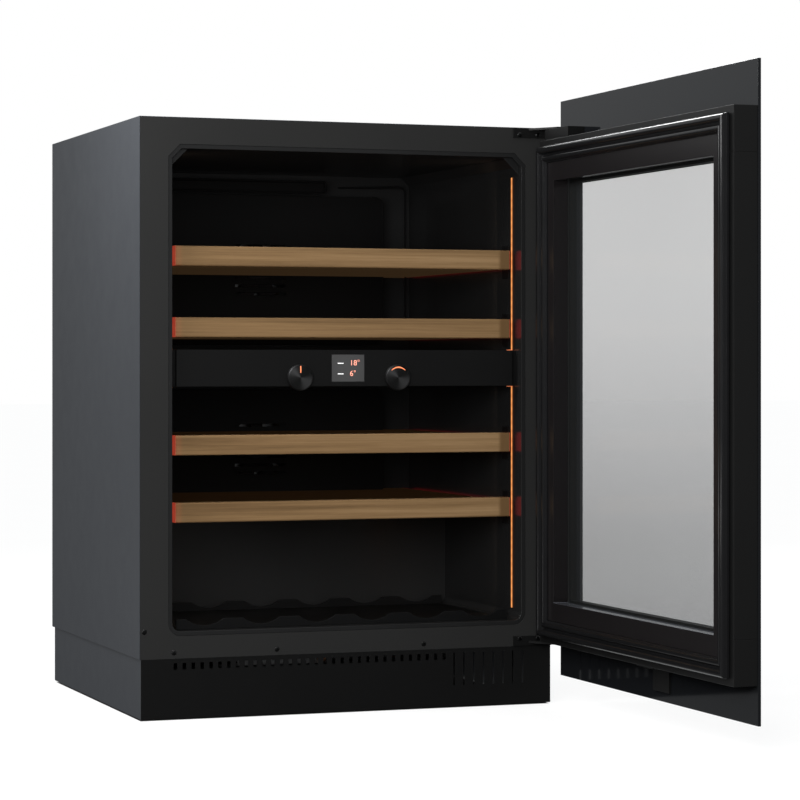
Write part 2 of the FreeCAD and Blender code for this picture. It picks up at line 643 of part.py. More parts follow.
def make_condenser():
    """A serpentine tube between two end plates."""
    radius = CONDENSER_TUBE
    half = CONDENSER_WIDTH / 2
    bend = CONDENSER_PITCH / 2
    bottom = BASE_PAN_Z + PLINTH_SHEET + 12
    pieces = []
    for i in range(CONDENSER_PASSES):
        z = bottom + i * CONDENSER_PITCH
        start = FreeCAD.Vector(CONDENSER_X - half, CONDENSER_Y, z)
        pieces.append(Part.makeCylinder(radius, CONDENSER_WIDTH, start, FreeCAD.Vector(1, 0, 0)))
        if i < CONDENSER_PASSES - 1:
            side = 1 if i % 2 == 0 else -1
            middle = FreeCAD.Vector(CONDENSER_X + side * half, CONDENSER_Y, z + bend)
            ring = Part.makeTorus(bend, radius, middle, BACKWARDS)
            keep = box((middle.x, middle.x + side * (bend + radius + 1)),
                       (CONDENSER_Y - radius - 1, CONDENSER_Y + radius + 1),
                       (z - radius - 1, z + CONDENSER_PITCH + radius + 1))
            pieces.append(ring.common(keep))
    tube = fuse(pieces)
    top = bottom + (CONDENSER_PASSES - 1) * CONDENSER_PITCH + 8
    plates = []
    for side in SIDES:
        x = CONDENSER_X + side * (half - 6)
        plate = box((x - 0.75, x + 0.75), (CONDENSER_Y - 18, CONDENSER_Y + 18),
                    (BASE_PAN_Z + PLINTH_SHEET, top))
        tubes = [Part.makeCylinder(radius + 0.2, 20, FreeCAD.Vector(x - 10, CONDENSER_Y,
                 bottom + i * CONDENSER_PITCH), FreeCAD.Vector(1, 0, 0)) for i in range(CONDENSER_PASSES)]
        plates.append(cut(plate, tubes))
    save("condenser", tube, *plates)


def pipe(points, radius, bend):
    """A tube along straight runs joined by arcs of one bend radius."""
    edges = []
    start = points[0]
    for before, corner, after in zip(points, points[1:], points[2:]):
        into = (corner - before).normalize()
        out = (after - corner).normalize()
        turn = into.getAngle(out)
        trim = bend * math.tan(turn / 2)
        first = corner - into * trim
        last = corner + out * trim
        inward = (out - into).normalize()
        middle = corner + inward * (bend / math.cos(turn / 2) - bend)
        edges.append(Part.LineSegment(start, first).toShape())
        edges.append(Part.Arc(first, middle, last).toShape())
        start = last
    edges.append(Part.LineSegment(start, points[-1]).toShape())
    path = Part.Wire(edges)
    direction = points[1] - points[0]
    ring = Part.Wire([Part.makeCircle(radius, points[0], direction)])
    return path.makePipeShell([ring], True, False)


def make_pipes():
    top = BASE_PAN_Z + PLINTH_SHEET + GROMMET + COMPRESSOR_HEIGHT
    x = COMPRESSOR_X + COMPRESSOR_RADIUS + 0.3
    y = COMPRESSOR_Y
    coil_x = CONDENSER_X - CONDENSER_WIDTH / 2 - 0.3
    coil_z = BASE_PAN_Z + PLINTH_SHEET + 12
    discharge = [FreeCAD.Vector(x, y - 10, top - 60), FreeCAD.Vector(x + 26, y - 10, top - 60),
                 FreeCAD.Vector(x + 26, CONDENSER_Y, coil_z), FreeCAD.Vector(coil_x, CONDENSER_Y, coil_z)]
    suction = [FreeCAD.Vector(COMPRESSOR_X, y - 20, top + 0.3),
               FreeCAD.Vector(COMPRESSOR_X, y - 20, COMPARTMENT_TOP - 12),
               FreeCAD.Vector(COMPRESSOR_X + 60, y - 20, COMPARTMENT_TOP - 12),
               FreeCAD.Vector(COMPRESSOR_X + 60, COMPARTMENT_Y + 16, COMPARTMENT_TOP - 12),
               FreeCAD.Vector(COMPRESSOR_X + 60, COMPARTMENT_Y + 16, COMPARTMENT_TOP - 0.3)]
    save("refrigerant_pipes", pipe(discharge, 2.5, 10.0), pipe(suction, 3.0, 8.0))


def make_rear_grille():
    inner = HALF - PLINTH_INSET - PLINTH_SHEET
    back = CABINET_DEPTH - PLINTH_REAR_INSET
    front = back - PLINTH_SHEET
    plate = box((-inner, inner), (front, back), (BASE_PAN_Z, COMPARTMENT_TOP))
    slots = []
    for row in range(3):
        z = BASE_PAN_Z + 40 + row * 40
        for i in range(-6, 13):
            x = i * 18.0
            slots.append(box((x - 2.5, x + 2.5), (front - 1, back + 1), (z, z + 28)))
    width, depth, height = INLET_SIZE
    mouth = box((INLET_X - width / 2, INLET_X + width / 2), (front - 1, back + 1),
                (INLET_Z - height / 2, INLET_Z + height / 2))
    save("rear_grille", cut(plate, slots + [mouth]))

    body = box((INLET_X - width / 2, INLET_X + width / 2), (back - depth, back),
               (INLET_Z - height / 2, INLET_Z + height / 2))
    socket = box((INLET_X - width / 2 + 10, INLET_X + width / 2 - 10), (back - 16, back + 1),
                 (INLET_Z - height / 2 + 5, INLET_Z + height / 2 - 5))
    blades = [box((INLET_X + dx - 1, INLET_X + dx + 1), (back - 17, back - 2),
                  (INLET_Z + dz - 2, INLET_Z + dz + 2)) for dx, dz in ((-7, -2), (0, 3), (7, -2))]
    save("power_inlet", fuse([body.cut(socket)] + blades))


# --- Hinges --------------------------------------------------------------------------
def upper_leg():
    top = CABINET_HEIGHT - SHEET
    return (top - BRACKET_LEG, top)


def lower_leg():
    bottom = PLINTH_HEIGHT + 0.5
    return (bottom, bottom + BRACKET_LEG)


def arm_spans():
    """Heights of the upper and the lower bracket's arm."""
    top = upper_leg()[1]
    lower_top = DOOR_BOTTOM - FLANGE_HEIGHT - HINGE_GAP
    return (top - ARM, top), (lower_top - ARM, lower_top)


def hinge_bracket(leg, arm):
    """A leg screwed to the front frame and an arm that reaches to the pin."""
    right = PIVOT_X + 1.5
    left = PIVOT_X - BRACKET_WIDTH
    corners = [(left, 0), (right, 0), (right, -PIVOT_OUT), (PIVOT_X - ARM_NOSE, -PIVOT_OUT),
               (PIVOT_X - 30, -ARM), (left, -ARM)]
    outline = [FreeCAD.Vector(x, y, arm[0]) for x, y in corners]
    plate = Part.Face(Part.makePolygon(outline + outline[:1])).extrude(UP * (arm[1] - arm[0]))
    nose = upright(ARM_NOSE, PIVOT_X, -PIVOT_OUT, arm)
    leg_plate = box((left, right), (-ARM, 0), leg)
    pin_hole = upright(PIN_RADIUS, PIVOT_X, -PIVOT_OUT, (arm[0] - 1, arm[1] + 1))
    solid = fuse([plate, nose, leg_plate]).cut(pin_hole)
    return cut(solid, holes(bracket_screw_points(), BACKWARDS))


def make_hinges():
    upper_arm, lower_arm = arm_spans()
    save("hinge_brackets", hinge_bracket(upper_leg(), upper_arm), hinge_bracket(lower_leg(), lower_arm))
    engaged = 14.0
    block_top = upper_arm[0] - HINGE_GAP - FLANGE_HEIGHT
    save("hinge_pins",
         upright(PIN_RADIUS, PIVOT_X, -PIVOT_OUT, (block_top - engaged, upper_arm[1])),
         upright(PIN_RADIUS, PIVOT_X, -PIVOT_OUT, (lower_arm[0], DOOR_BOTTOM + engaged)))


def bush(face, direction):
    """A flanged plastic bush; direction is the way it goes in from its face."""
    length = 15.0
    axis = UP * direction
    at = FreeCAD.Vector(PIVOT_X, -PIVOT_OUT, face)
    body = Part.makeCylinder(BUSH_RADIUS, length, at, axis)
    flange = Part.makeCylinder(BUSH_FLANGE, FLANGE_HEIGHT, at, axis * -1)
    bore = Part.makeCylinder(PIN_RADIUS + RUNNING, 60, at - axis * 20, axis)
    return fuse([body, flange]).cut(bore)


def bush_seat(z):
    return upright(BUSH_RADIUS, PIVOT_X, -PIVOT_OUT, z)


# --- Door ----------------------------------------------------------------------------
def door_ring(inset_side, inset_end, y, width):
    """A rectangular ring of the door, set in from the door body's edges."""
    half = DOOR_HALF - inset_side
    bottom = DOOR_BOTTOM + inset_end
    top = DOOR_TOP - inset_end
    outer = box((-half, half), y, (bottom, top))
    span = (min(y) - 1, max(y) + 1)
    inner = box((-half + width, half - width), span, (bottom + width, top - width))
    return outer.cut(inner)


def hinge_block_screw_points():
    top = arm_spans()[0][0] - HINGE_GAP - FLANGE_HEIGHT
    y = BODY_BACK + HINGE_BLOCK_DEPTH / 2
    return [(HALF - 1.5 - offset, y, top - 8) for offset in (30.0, HINGE_BLOCK_LENGTH - 12)]


def make_door():
    glass_y = (BODY_BACK - GLASS, BODY_BACK)
    save("front_glass_panel", opened(box((-HALF, HALF), glass_y, (PANEL_BOTTOM, PANEL_TOP))))

    body_y = (BODY_BACK, BODY_FRONT)
    block_top = arm_spans()[0][0] - HINGE_GAP - FLANGE_HEIGHT
    down = UP * -1
    lower_rail = box((-DOOR_HALF, DOOR_HALF), body_y, (DOOR_BOTTOM, DOOR_BOTTOM + DOOR_RAIL_HEIGHT))
    upper_rail = box((-DOOR_HALF, DOOR_HALF), body_y, (DOOR_TOP - DOOR_RAIL_HEIGHT, DOOR_TOP))
    lower_rail = cut(lower_rail, [bush_seat((DOOR_BOTTOM - 1, DOOR_BOTTOM + 15.0))]
                     + holes(bracket_points(), UP))
    upper_rail = cut(upper_rail, holes([(x, y, DOOR_TOP) for x, y, z in hinge_block_screw_points()], down))
    inner_half = DOOR_HALF - STILE_WIDTH
    stile = box((inner_half, DOOR_HALF), body_y, (DOOR_BOTTOM + DOOR_RAIL_HEIGHT, DOOR_TOP - DOOR_RAIL_HEIGHT))
    trim_y = (BODY_FRONT, BODY_FRONT - TRIM)
    face_inset = GASKET_INSET + GASKET_WIDTH
    face = box((-DOOR_HALF + face_inset, DOOR_HALF - face_inset), trim_y,
               (DOOR_BOTTOM + face_inset, DOOR_TOP - face_inset))
    save("door_frame", *[opened(piece.cut(face)) for piece in [upper_rail, lower_rail] + pair(stile)])

    window_half = inner_half
    window_bottom = DOOR_BOTTOM + DOOR_RAIL_HEIGHT
    window_top = DOOR_TOP - DOOR_RAIL_HEIGHT
    sleeve = box((-window_half, window_half), (BODY_FRONT, BODY_FRONT - TRIM_DEPTH),
                 (window_bottom, window_top))
    opening = box((-window_half + TRIM, window_half - TRIM), (0, BODY_BACK),
                  (window_bottom + TRIM, window_top - TRIM))
    save("door_inner_trim", opened(fuse([face, sleeve]).cut(opening)))

    pane_y = (BODY_FRONT - TRIM_DEPTH, BODY_FRONT - TRIM_DEPTH - PANE)
    pane = box((-window_half + PANE_CLEAR, window_half - PANE_CLEAR), pane_y,
               (window_bottom + PANE_CLEAR, window_top - PANE_CLEAR))
    save("inner_pane", opened(pane))
    spacer_y = (pane_y[1], BODY_BACK)
    save("glazing_spacer", opened(door_ring(STILE_WIDTH + PANE_CLEAR, DOOR_RAIL_HEIGHT + PANE_CLEAR,
                                            spacer_y, SPACER_WIDTH)))

    base = door_ring(GASKET_INSET, GASKET_INSET, (BODY_FRONT, BODY_FRONT + 6), GASKET_WIDTH)
    bulge = door_ring(GASKET_INSET + 3, GASKET_INSET + 3, (BODY_FRONT, -GASKET_GAP), 11.0)
    save("door_gasket", opened(fuse([base, bulge])))

    right = HALF - 1.5
    block = box((right - HINGE_BLOCK_LENGTH, right), (BODY_BACK + 0.2, BODY_BACK + HINGE_BLOCK_DEPTH),
                (DOOR_TOP, block_top))
    counterbores = [upright(SCREW_HEAD + 0.2, x, y, (z, block_top + 1))
                    for x, y, z in hinge_block_screw_points()]
    block = cut(block, [bush_seat((block_top - 15.0, block_top + 1))] + counterbores
                + block_holes())
    save("door_hinge_block", opened(block))
    save("hinge_bushes", opened(bush(block_top, -1)), opened(bush(DOOR_BOTTOM, 1)))

    save("panel_bracket", opened(panel_bracket()))
    block_screws = [block_screw(point) for point in hinge_block_screw_points()]
    save("door_screws", *[opened(s) for s in block_screws + screws(bracket_points(-ARM), UP)])


def block_screw(point):
    """A long screw down through the hinge block into the door's top rail."""
    x, y, z = point
    reach = z - DOOR_TOP + SCREW_LENGTH - 1
    return fuse([upright(SCREW_HEAD, x, y, (z, z + SCREW_HEAD_HEIGHT)),
                 upright(SCREW_SHANK, x, y, (z - reach, z))])


def block_holes():
    return [upright(SCREW_SHANK + SCREW_CLEAR, x, y, (DOOR_TOP - 1, z + 1))
            for x, y, z in hinge_block_screw_points()]


def bracket_points(below=0.0):
    """Screws up through the panel bracket into the door's bottom rail."""
    y = BODY_BACK + 16
    return [(x, y, DOOR_BOTTOM + below) for x in (BRACKET_X[0] + 12, BRACKET_X[1] - 12)]


def panel_bracket():
    upright_leg = box(BRACKET_X, (BODY_BACK, BODY_BACK + 3), (DOOR_BOTTOM - BRACKET_DROP, DOOR_BOTTOM))
    flat_leg = box(BRACKET_X, (BODY_BACK, BODY_BACK + 26), (DOOR_BOTTOM - ARM, DOOR_BOTTOM))
    through = [upright(SCREW_SHANK + SCREW_CLEAR, x, y, (DOOR_BOTTOM - ARM - 1, DOOR_BOTTOM + 1))
               for x, y, z in bracket_points()]
    return cut(fuse([upright_leg, flat_leg]), through)


def main():
    os.makedirs("parts", exist_ok=True)
    make_cabinet()
    make_front_frame()
    make_plinth()
    make_base()
    for number, top in enumerate(SHELF_TOPS, 1):
        make_shelf(number, top)
    make_shelf_rails()
    make_bottle_rest()
    make_zone_bar()
    make_lighting()
    make_air_ducts()
    make_fans()
    make_compressor()
    make_condenser()
    make_pipes()
    make_rear_grille()
    make_hinges()
    make_door()


main()
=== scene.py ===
"""Finishes and finer pieces of a two-zone wine cooler with its glass door open."""
import math

import bmesh
import bpy
from mathutils import Matrix, Vector


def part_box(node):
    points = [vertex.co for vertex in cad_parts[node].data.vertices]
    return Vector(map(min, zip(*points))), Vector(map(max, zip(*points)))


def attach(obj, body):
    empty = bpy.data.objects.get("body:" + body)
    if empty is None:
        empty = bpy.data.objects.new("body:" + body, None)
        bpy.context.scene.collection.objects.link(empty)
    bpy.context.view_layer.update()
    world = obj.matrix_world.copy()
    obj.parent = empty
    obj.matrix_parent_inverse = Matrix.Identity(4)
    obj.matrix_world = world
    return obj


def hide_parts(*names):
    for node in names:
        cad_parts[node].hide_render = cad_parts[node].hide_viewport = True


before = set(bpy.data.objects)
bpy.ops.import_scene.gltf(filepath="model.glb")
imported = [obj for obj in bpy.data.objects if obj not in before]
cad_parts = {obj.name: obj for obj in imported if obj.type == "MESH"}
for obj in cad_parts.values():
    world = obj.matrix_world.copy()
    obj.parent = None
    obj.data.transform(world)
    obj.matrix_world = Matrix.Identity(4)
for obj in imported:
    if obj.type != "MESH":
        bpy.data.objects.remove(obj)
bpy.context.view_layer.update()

MM = 0.001
SHELVES = (1, 2, 3, 4)
FULL_TURN = 2 * math.pi


# --- Node trees ----------------------------------------------------------------------
class Wire:
    """One output of a node. Arithmetic on it adds Math nodes."""

    def __init__(self, graph, socket):
        self.graph = graph
        self.socket = socket

    def output(self, name):
        return Wire(self.graph, self.socket.node.outputs[name])

    def math(self, operation, *values):
        return self.graph.math(operation, self, *values)

    def __add__(self, other):
        return self.graph.math("ADD", self, other)

    def __radd__(self, other):
        return self.graph.math("ADD", other, self)

    def __sub__(self, other):
        return self.graph.math("SUBTRACT", self, other)

    def __rsub__(self, other):
        return self.graph.math("SUBTRACT", other, self)

    def __mul__(self, other):
        return self.graph.math("MULTIPLY", self, other)

    def __rmul__(self, other):
        return self.graph.math("MULTIPLY", other, self)


class Graph:
    """A shader or geometry tree that is built one node at a time."""

    def __init__(self, tree):
        self.tree = tree

    def add(self, kind, settings=None, values=(), output=0):
        node = self.tree.nodes.new(kind)
        for key, value in (settings or {}).items():
            if key == "stops":
                self.set_stops(node.color_ramp, value)
            else:
                setattr(node, key, value)
        pairs = values.items() if isinstance(values, dict) else enumerate(values)
        for key, value in pairs:
            if isinstance(value, Wire):
                self.tree.links.new(value.socket, node.inputs[key])
            elif value is not None:
                node.inputs[key].default_value = value
        return Wire(self, node.outputs[output]) if len(node.outputs) else None

    def set_stops(self, ramp, stops):
        while len(ramp.elements) < len(stops):
            ramp.elements.new(1.0)
        for element, (position, colour) in zip(ramp.elements, stops):
            element.position = position
            element.color = (*colour, 1.0)

    def math(self, operation, *values):
        return self.add("ShaderNodeMath", {"operation": operation}, values)

    def mix(self, factor, low, high):
        """Low where factor is 0 and high where it is 1, as colours."""
        return self.add("ShaderNodeMix", {"data_type": "RGBA"},
                        {0: factor, 6: opaque(low), 7: opaque(high)}, 2)

    def place(self):
        return self.add("ShaderNodeTexCoord", output="Object")

    def split(self, vector):
        parts = self.add("ShaderNodeSeparateXYZ", None, [vector])
        return parts, parts.output("Y"), parts.output("Z")

    def axes(self):
        return self.split(self.place())

    def facing(self):
        """The x, y and z of the direction that the surface faces."""
        return self.split(self.add("ShaderNodeTexCoord", output="Normal"))

    def stretch(self, where, scale):
        return self.add("ShaderNodeMapping", None, {"Vector": where, "Scale": scale})

    def noise(self, where, scale, detail=2.0, distortion=0.0):
        return self.add("ShaderNodeTexNoise", None, {"Vector": where, "Scale": scale, "Detail": detail,
                                                     "Distortion": distortion})

    def ramp(self, factor, stops):
        return self.add("ShaderNodeValToRGB", {"stops": stops}, [factor])

    def rise(self, value, start, end):
        """0 up to start and 1 from end, smooth in between."""
        return self.add("ShaderNodeMapRange", {"interpolation_type": "SMOOTHSTEP"},
                        {"Value": value, "From Min": start, "From Max": end})

    def bump(self, height, strength, distance):
        return self.add("ShaderNodeBump", None, {"Strength": strength, "Distance": distance,
                                                 "Height": height})

    def combine(self, x, y, z):
        return self.add("ShaderNodeCombineXYZ", None, [x, y, z])


def grey(value):
    return value, value, value


def opaque(colour):
    """The colour with its alpha, or a wire as it is."""
    return colour if isinstance(colour, Wire) or len(colour) == 4 else (*colour, 1.0)


def finish(name, paint, **constants):
    """A material. The constants sit on the shader's own sockets; paint gives what varies."""
    material = bpy.data.materials.new(name)
    material.use_nodes = True
    material.node_tree.nodes.clear()
    graph = Graph(material.node_tree)
    values = {key.replace("_", " "): value for key, value in constants.items()}
    values.update(paint(graph))
    shader = graph.add("ShaderNodeBsdfPrincipled", None, values)
    graph.add("ShaderNodeOutputMaterial", None, {"Surface": shader})
    return material


# --- Finishes ------------------------------------------------------------------------
def powder_coat(name, low, high, roughness, specular, grit=1100.0):
    """Baked paint: fine orange peel and a faint cloud in its colour."""
    def paint(g):
        at = g.place()
        peel = 0.7 * g.noise(at, grit) + 0.3 * g.noise(at, grit / 5)
        return {
            "Base Color": g.mix(g.noise(at, 5.0, 3.0), low, high),
            "Roughness": roughness - 0.05 + 0.1 * g.noise(at, 35.0, 3.0),
            "Normal": g.bump(peel, 0.14, 0.0003),
        }
    return finish(name, paint, Specular_IOR_Level=specular)


def moulded_trim(name, low, high):
    """Moulded plastic that is satin on its wide face and polished on its returns; its upward faces are
    painted lighter and bluer, a painted highlight of the bright light above.
    """
    def paint(g):
        at = g.place()
        wipe = g.noise(g.stretch(at, (9.0, 9.0, 2.5)), 1.0, 4.0, 0.6)
        across, _, up = g.facing()
        face = g.rise(across.math("ABSOLUTE"), 0.6, 0.9)
        # Upward faces: a painted highlight in lighter blue-grey, with a clear coat.
        painted_upward_highlight = g.rise(up, 0.6, 0.9)
        return {
            "Base Color": g.mix(painted_upward_highlight, g.mix(wipe, low, high), (0.15, 0.16, 0.185)),
            "Roughness": 0.07 + 0.2 * face + 0.05 * wipe,
            "Coat Weight": painted_upward_highlight,
            "Normal": g.bump(g.noise(at, 2400.0, 1.0), 0.02, 0.0002),
        }
    return finish(name, paint, Specular_IOR_Level=0.3)


def moulded(name, low, high, roughness, specular, grain=2400.0, depth=0.1):
    """Moulded plastic with a fine grain and slightly uneven gloss."""
    def paint(g):
        at = g.place()
        wipe = g.noise(g.stretch(at, (9.0, 9.0, 2.5)), 1.0, 4.0, 0.6)
        return {
            "Base Color": g.mix(wipe, low, high),
            "Roughness": roughness - 0.06 + 0.12 * wipe,
            "Normal": g.bump(g.noise(at, grain, 1.0), depth, 0.0002),
        }
    return finish(name, paint, Specular_IOR_Level=specular)


def oiled_wood(name, glow):
    """Straight-grained wood that runs left to right, with painted light: glow scales an orange painted glow
    and red painted rims at the ends beside the lit strips, a painted glow under the slats and painted shade
    at the right end; the tone is also painted lighter towards the right.
    """
    dark, middle, light = (0.11, 0.064, 0.028), (0.178, 0.107, 0.049), (0.245, 0.155, 0.077)
    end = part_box("shelf_1_front")[1].x
    lit_end = 12 * MM
    band_pitch = 12 * MM

    def paint(g):
        at = g.place()
        bend = g.noise(g.stretch(at, (2.2, 9.0, 9.0)), 1.0, 2.0)
        rings = g.noise(g.stretch(at, (1.3, 70.0, 70.0)), 1.0, 3.0, 0.5)
        streaks = g.noise(g.stretch(at, (7.0, 420.0, 420.0)), 1.0, 4.0, 0.3)
        pores = g.noise(g.stretch(at, (60.0, 1900.0, 1900.0)), 1.0, 1.0)
        x, y, _ = g.axes()
        # The 0.24 * x term makes the tone lighter towards the right: painted light.
        tone = 0.4 * rings + 0.3 * streaks + 0.2 * bend + 0.1 * pores + 0.24 * x
        _, _, up = g.facing()
        # The undersides get a painted glow, in bands one slat apart.
        below = g.rise(-1 * up, 0.6, 0.9)
        colour = g.ramp(tone, [(0.36, dark), (0.5, middle), (0.64, light)])
        # Painted shade darkens the right end; an orange painted glow lies near the left end, with thin red
        # painted rims at both ends.
        shade = g.rise(x, end - 19 * MM, end - lit_end)
        near = g.rise(-1 * x, end - lit_end, end)
        painted_left_glow_rim = g.rise(-1 * x, end - 0.6 * MM, end - 0.3 * MM)
        painted_right_glow_rim = g.rise(x, end - 0.6 * MM, end - 0.3 * MM)
        band = 0.25 + 0.75 * g.rise((y * (FULL_TURN / band_pitch)).math("COSINE"), -0.4, 0.5)
        painted_glow = g.mix(below * band, grey(0.0), (0.036, 0.021, 0.0098))
        painted_glow = g.mix(near, painted_glow, (0.075 * glow, 0.006 * glow, 0.002 * glow))
        painted_glow = g.mix(painted_left_glow_rim, painted_glow, (0.26 * glow, 0.02 * glow, 0.014 * glow))
        return {
            "Base Color": g.mix(shade * glow, colour, (0.11, 0.062, 0.026)),
            "Roughness": 0.42 + 0.2 * pores,
            "Emission Color": g.mix(painted_right_glow_rim, painted_glow, (0.62 * glow, 0.025 * glow, 0.028 * glow)),
            "Normal": g.bump(0.6 * streaks + 0.4 * pores, 0.2, 0.0004),
        }
    return finish(name, paint, Specular_IOR_Level=0.3, Emission_Strength=1.0)


def amber_diffuser(name):
    """A dark strip with a thin lit line along it, a little brighter over each diode."""
    low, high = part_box("led_strips")
    middle = (low.y + high.y) / 2
    diode_pitch = 12.5 * MM

    def paint(g):
        _, y, z = g.axes()
        beat = (z * (FULL_TURN / diode_pitch)).math("COSINE")
        line = 1 - g.rise((y - middle).math("ABSOLUTE"), 1.7 * MM, 2.9 * MM)
        lamp = g.mix(0.5 + 0.5 * beat, (0.8, 0.27, 0.075), (0.98, 0.36, 0.1))
        return {
            "Base Color": g.mix(line, (0.012, 0.007, 0.005), (0.2, 0.09, 0.03)),
            "Roughness": 0.45 + 0.1 * g.noise(g.place(), 300.0),
            "Emission Color": g.mix(line, (0.02, 0.004, 0.001), lamp),
        }
    return finish(name, paint, Emission_Strength=1.0, Specular_IOR_Level=0.2)


def lit(name, colour, strength):
    """A small light-guide piece with slightly uneven brightness."""
    def paint(g):
        mottle = g.noise(g.place(), 700.0, 2.0)
        return {
            "Base Color": (*colour, 1.0),
            "Roughness": 0.3 + 0.2 * mottle,
            "Emission Color": g.mix(mottle, tuple(0.8 * c for c in colour), colour),
        }
    return finish(name, paint, Emission_Strength=strength)


def spun_metal(name, centre):
    """Dark metal turned on a lathe: fine rings in its bump, and a fan-shaped painted highlight in its colour.
    """
    ring_pitch = 0.28 * MM

    def paint(g):
        x, _, z = g.axes()
        across = x - centre.x
        up = z - centre.z
        radius = (across * across + up * up).math("SQRT")
        angle = up.math("ARCTAN2", across)
        fan = 0.5 + 0.5 * (angle * 2.0 + 1.35).math("COSINE")
        wide = 0.5 + 0.5 * (angle * 5.0 + 0.4).math("COSINE")
        rings = (radius * (FULL_TURN / ring_pitch)).math("SINE")
        # tone is a painted highlight: a fan-shaped sheen, lighter at some angles round the centre.
        tone = 0.7 * fan.math("POWER", 3.0) + 0.3 * wide * fan
        return {
            "Base Color": g.mix(tone, grey(0.011), (0.07, 0.07, 0.071)),
            "Roughness": 0.36 - 0.08 * fan + 0.04 * g.noise(g.place(), 900.0),
            "Normal": g.bump(rings, 0.12, 0.00003),
        }
    return finish(name, paint, Metallic=0.6, Specular_IOR_Level=0.25)


def bare_metal(name, low, high, roughness, brush=(40.0, 1200.0, 1200.0)):
    """Sheet or bar metal, brushed or drawn in one direction."""
    def paint(g):
        at = g.place()
        lines = g.noise(g.stretch(at, brush), 1.0, 3.0)
        return {
            "Base Color": g.mix(0.6 * lines + 0.4 * g.noise(at, 25.0, 3.0), low, high),
            "Roughness": roughness - 0.08 + 0.16 * lines,
            "Normal": g.bump(lines, 0.08, 0.0002),
        }
    return finish(name, paint, Metallic=1.0)


def galvanised(name):
    """Zinc-coated sheet with its flat crystal pattern."""
    def paint(g):
        at = g.place()
        cells = g.add("ShaderNodeTexVoronoi", None, {"Vector": at, "Scale": 230.0}, "Color")
        cell = g.add("ShaderNodeSeparateColor", None, [cells])
        return {
            "Base Color": g.mix(cell, (0.36, 0.365, 0.37), (0.44, 0.445, 0.45)),
            "Roughness": 0.42 + 0.1 * cell,
            "Normal": g.bump(g.noise(at, 500.0), 0.06, 0.0002),
        }
    return finish(name, paint, Metallic=0.9)


def rubber(name, shade, roughness, specular):
    """Rubber or nylon with a little dust."""
    def paint(g):
        at = g.place()
        dust = g.noise(at, 60.0, 4.0)
        return {
            "Base Color": g.mix(dust, shade, tuple(1.5 * c for c in shade)),
            "Roughness": roughness + 0.1 * dust,
            "Normal": g.bump(g.noise(at, 240.0), 0.05, 0.0002),
        }
    return finish(name, paint, Specular_IOR_Level=specular)


def printed_glass(name):
    """Tinted glass, opaque under the black margin printed round its window; the window is painted darker
    towards the bottom, as painted shade.
    """
    low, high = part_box("front_glass_panel")
    side = 67.8 * MM
    left = low.y + side
    right = high.y - side
    frame_low, frame_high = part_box("door_frame")
    bottom = frame_low.z + 60.6 * MM
    top = frame_high.z - 61.0 * MM
    fade = 0.4 * MM

    def paint(g):
        _, y, z = g.axes()
        inside = g.rise(y, left - fade, left) * (1 - g.rise(y, right, right + fade))
        inside = inside * g.rise(z, bottom - fade, bottom) * (1 - g.rise(z, top, top + fade))
        # depth is painted shade: the window lets less through towards the bottom.
        depth = 1 - g.rise(z, bottom - 0.1, bottom + 0.45)
        haze = g.noise(g.place(), 3.0, 2.0)
        return {
            "Base Color": g.mix(inside, (0.006, 0.0065, 0.0075), (0.045, 0.047, 0.05)),
            "Roughness": 0.05 + 0.03 * haze,
            "Alpha": 1 - inside * (0.76 - 0.26 * depth + 0.02 * haze),
        }
    return finish(name, paint, Specular_IOR_Level=0.27)


def clear_glass(name, alpha):
    """A plain pane with a faint haze."""
    def paint(g):
        haze = g.noise(g.place(), 4.0, 3.0)
        return {
            "Base Color": g.mix(haze, (0.08, 0.085, 0.085), (0.11, 0.115, 0.115)),
            "Roughness": 0.03 + 0.03 * haze,
        }
    return finish(name, paint, Alpha=alpha, Specular_IOR_Level=0.25)


def smoked_lens(name):
    """The display's lens: grey, lit from behind, brighter towards its middle."""
    low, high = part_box("display_module")
    middle = (low + high) / 2

    def paint(g):
        x, _, z = g.axes()
        away = ((x - middle.x) * (x - middle.x) + (z - middle.z) * (z - middle.z)).math("SQRT")
        glow = 1 - g.rise(away, 0.004, 0.034)
        return {
            "Base Color": (0.03, 0.03, 0.03, 1.0),
            "Roughness": 0.2 + 0.05 * g.noise(g.place(), 500.0),
            "Emission Color": g.mix(glow, grey(0.024), grey(0.032)),
        }
    return finish(name, paint, Emission_Strength=1.0)


def circuit_board(name):
    """Green board with raised tracks."""
    def paint(g):
        at = g.place()
        traces = g.add("ShaderNodeTexBrick", None, {"Vector": at, "Scale": 180.0})
        return {
            "Base Color": g.mix(g.noise(at, 200.0), (0.01, 0.07, 0.03), (0.02, 0.13, 0.05)),
            "Roughness": 0.35 + 0.1 * g.noise(at, 80.0),
            "Normal": g.bump(traces.output("Fac"), 0.1, 0.0002),
        }
    return finish(name, paint)


def rigid_foam(name):
    """Yellow foam with closed cells."""
    def paint(g):
        at = g.place()
        cells = g.add("ShaderNodeTexVoronoi", None, {"Vector": at, "Scale": 700.0}, "Distance")
        return {
            "Base Color": g.mix(g.noise(at, 20.0, 4.0), (0.6, 0.5, 0.26), (0.75, 0.66, 0.4)),
            "Roughness": 0.85 + 0.1 * g.noise(at, 200.0),
            "Normal": g.bump(cells, 0.3, 0.0006),
        }
    return finish(name, paint)


